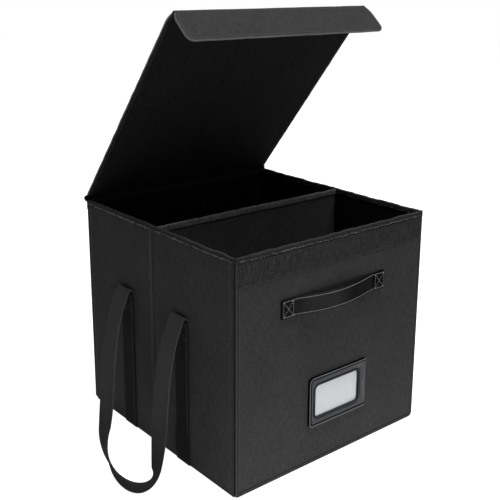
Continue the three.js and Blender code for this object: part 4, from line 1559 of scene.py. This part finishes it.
hinge_corners = [(0, 0.1811, 0.3150), (0, 0.1811, 0.3285), HINGE + Vector((0, 0.0002, -0.0006)),
                 lid_place @ Vector((0, -0.0066, 0))]
hinge_cloth = bridging_cloth("lid_hinge_cloth", hinge_corners, hinge_tape,
                             ("lid_hinge_strip", "lid_hinge_flap"), thick=1.0 * MM, width=0.3488, seed=3.0,
                             centre=0.7, knob=2.2, spread=3.2 * MM)
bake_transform(hinge_cloth)

lip_fold_tape = binding_tape("lip_fold_tape", 0.04, 0.0012, 0.05)
fold_corners = [lid_place @ Vector((0, LID_FRONT, 0)),
                lid_place @ Vector((0, -FOLD_DISTANCE - 0.6 * MM, 0.5 * MM)),
                lip_place @ Vector((0, LIP_BACK, 0))]
fold_cloth = bridging_cloth("lip_fold_cloth", fold_corners, lip_fold_tape,
                            ("lid_front_fold", "lip_fold_flap"), thick=2.7 * MM, width=0.3412, seed=8.1,
                            narrowing=1.0 * MM)
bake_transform(fold_cloth)

# %% [markdown]
# The rows of stitches on the box come next, each on the piece that it goes through: round the panels and
# down the side walls. The walls are wavy, so their rows ask the same formula where the cloth is.

# %% Panel and wall stitches
def sewn(name, lines, body, slot, placed=None, thread=dark_thread, **settings):
    piece = stitch_mesh(name, lines, **settings)
    finish_piece(piece, body, slot, thread, smooth=180, placed=placed)


row_x, row_foot, row_top = HALF_WIDTH - 7.4 * MM, 0.0075, 0.318
for name, side in (("front_stitches", -1), ("back_stitches", 1)):
    corners = ((-row_x, row_top), (-row_x, row_foot), (row_x, row_foot), (row_x, row_top))
    sewn(name, [([(x, side * 0.17995, z) for x, z in corners], (0, side, 0))], "case", "cover")

heights = [0.006 + 0.312 * i / 40 for i in range(41)]
sewn("side_stitches", [
    ([(side * (HALF_WIDTH + side_relief(y, z)), y, z) for z in heights], (side, 0, 0))
    for side in (-1, 1) for y in (-0.1705, 0.1705)], "case", "cover")

# %% [markdown]
# The rim's binding is sewn through with uneven stitches, and dark dashes of painted shade lie just above
# them, where the tape puckers. Both are rows along the front and the two sides. The sewing shows inside as
# well.

# %% Rim stitches
def rim_rows(way, z, reach, front, side_x, ends):
    # way is 1 for rows that look out of the box, and -1 for rows that look into it
    rows = [((-reach, front), (reach, front), (0, -way, 0))]
    rows += [((side * side_x, ends[0]), (side * side_x, ends[1]), (side * way, 0, 0)) for side in (-1, 1)]
    return [([(*a, z), (*b, z)], facing) for a, b, facing in rows]


rim_row = RIM_LOW + 1.6 * MM
# painted shade: near-black dashes for the shade of the tape's puckers
pucker_shade = rim_rows(1, rim_row + 0.5 * MM, reach=0.171, front=-0.1811, side_x=0.1759, ends=(-0.176, 0.175))
outside = rim_rows(1, rim_row, reach=0.171, front=-0.18105, side_x=0.17585, ends=(-0.176, 0.175))
inside = rim_rows(-1, rim_row, reach=0.168, front=-0.1753, side_x=0.1701, ends=(-0.173, 0.172))
sewn("rim_pucker_shade", pucker_shade, "case", "binding", thread=shade_thread, pitch=5 * MM, length=5 * MM,
     thickness=1.5 * MM, sunk=0.3, uneven=1.2)
sewn("rim_stitches", outside + inside, "case", "binding", thread=worn_thread, pitch=6.5 * MM,
     length=3.4 * MM, thickness=1.0 * MM, uneven=1.4)

# %% [markdown]
# Each side strap is sewn down both edges and has a box with a cross at its top, where the loop pulls.
# The fuzzy tape has one row along its foot, sewn in near-black thread that paints the shade under the
# tape's edge.

# %% Strap and tape stitches
strap_lines = []
for side, y, foot, top in side_straps:
    x = side * (STRAP_SEAT + WEBBING_THICK + STRAP_GAP)
    left, right, low, high = y - 13.6 * MM, y + 13.6 * MM, foot + 0.003, top - 0.004
    box_foot = high - 0.024
    rows = [((left, low), (left, high)), ((right, low), (right, high)),
            ((left, high), (right, high)), ((left, box_foot), (right, box_foot)),
            ((left, high), (right, box_foot)), ((right, high), (left, box_foot))]
    strap_lines += [([(x, *a), (x, *b)], (side, 0, 0)) for a, b in rows]
sewn("side_strap_stitches", strap_lines, "case", "webbing")

low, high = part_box("loop_tape")
tape_row = [(x, low.y - 0.0001, low.z + 0.0012) for x in (low.x + 0.002, high.x - 0.002)]
# a real row of stitches, made near-black as painted shade under the tape's lower edge
sewn("loop_tape_stitches", [(tape_row, (0, -1, 0))], "case", "pile", thread=shade_thread, pitch=4 * MM,
     length=3.8 * MM)

# %% [markdown]
# The bindings of the lid and the lip are sewn through, so each row shows on both faces. The hook tape has
# a row along each of its long edges.

# %% Lid and lip stitches
BOTH_FACES = ((1.8 * MM, 1), (-1.8 * MM, -1))
BINDING_ROW = 4.7 * MM

lid_lines = [
    ([(x, LID_BACK - 0.002, z), (x, LID_FRONT + 0.002, z)], (0, 0, out))
    for x in (BINDING_ROW - HALF_WIDTH, HALF_WIDTH - BINDING_ROW) for z, out in BOTH_FACES]
sewn("lid_stitches", lid_lines, "lid", "binding", placed=lid_place)

lip_lines = [([(x, y, z) for x, y, _ in lip_edge_line(BINDING_ROW)], (0, 0, out)) for z, out in BOTH_FACES]
lip_lines += [([(-0.162, y, -2.6 * MM), (0.162, y, -2.6 * MM)], (0, 0, -1)) for y in (-0.0192, -0.0414)]
sewn("lip_stitches", lip_lines, "lid_lip", "binding", placed=lip_place)

# %% [markdown]
# Blender mustn't change the box's size, so the visual model's box is measured and printed beside the
# imported model's.

# %% Finish
low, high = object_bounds()
{"cad": [list(cad_low), list(cad_high)], "visual": [list(low), list(high)]}
print("cad box", [round(v, 4) for v in (*cad_low, *cad_high)])
print("visual box", [round(v, 4) for v in (*low, *high)])
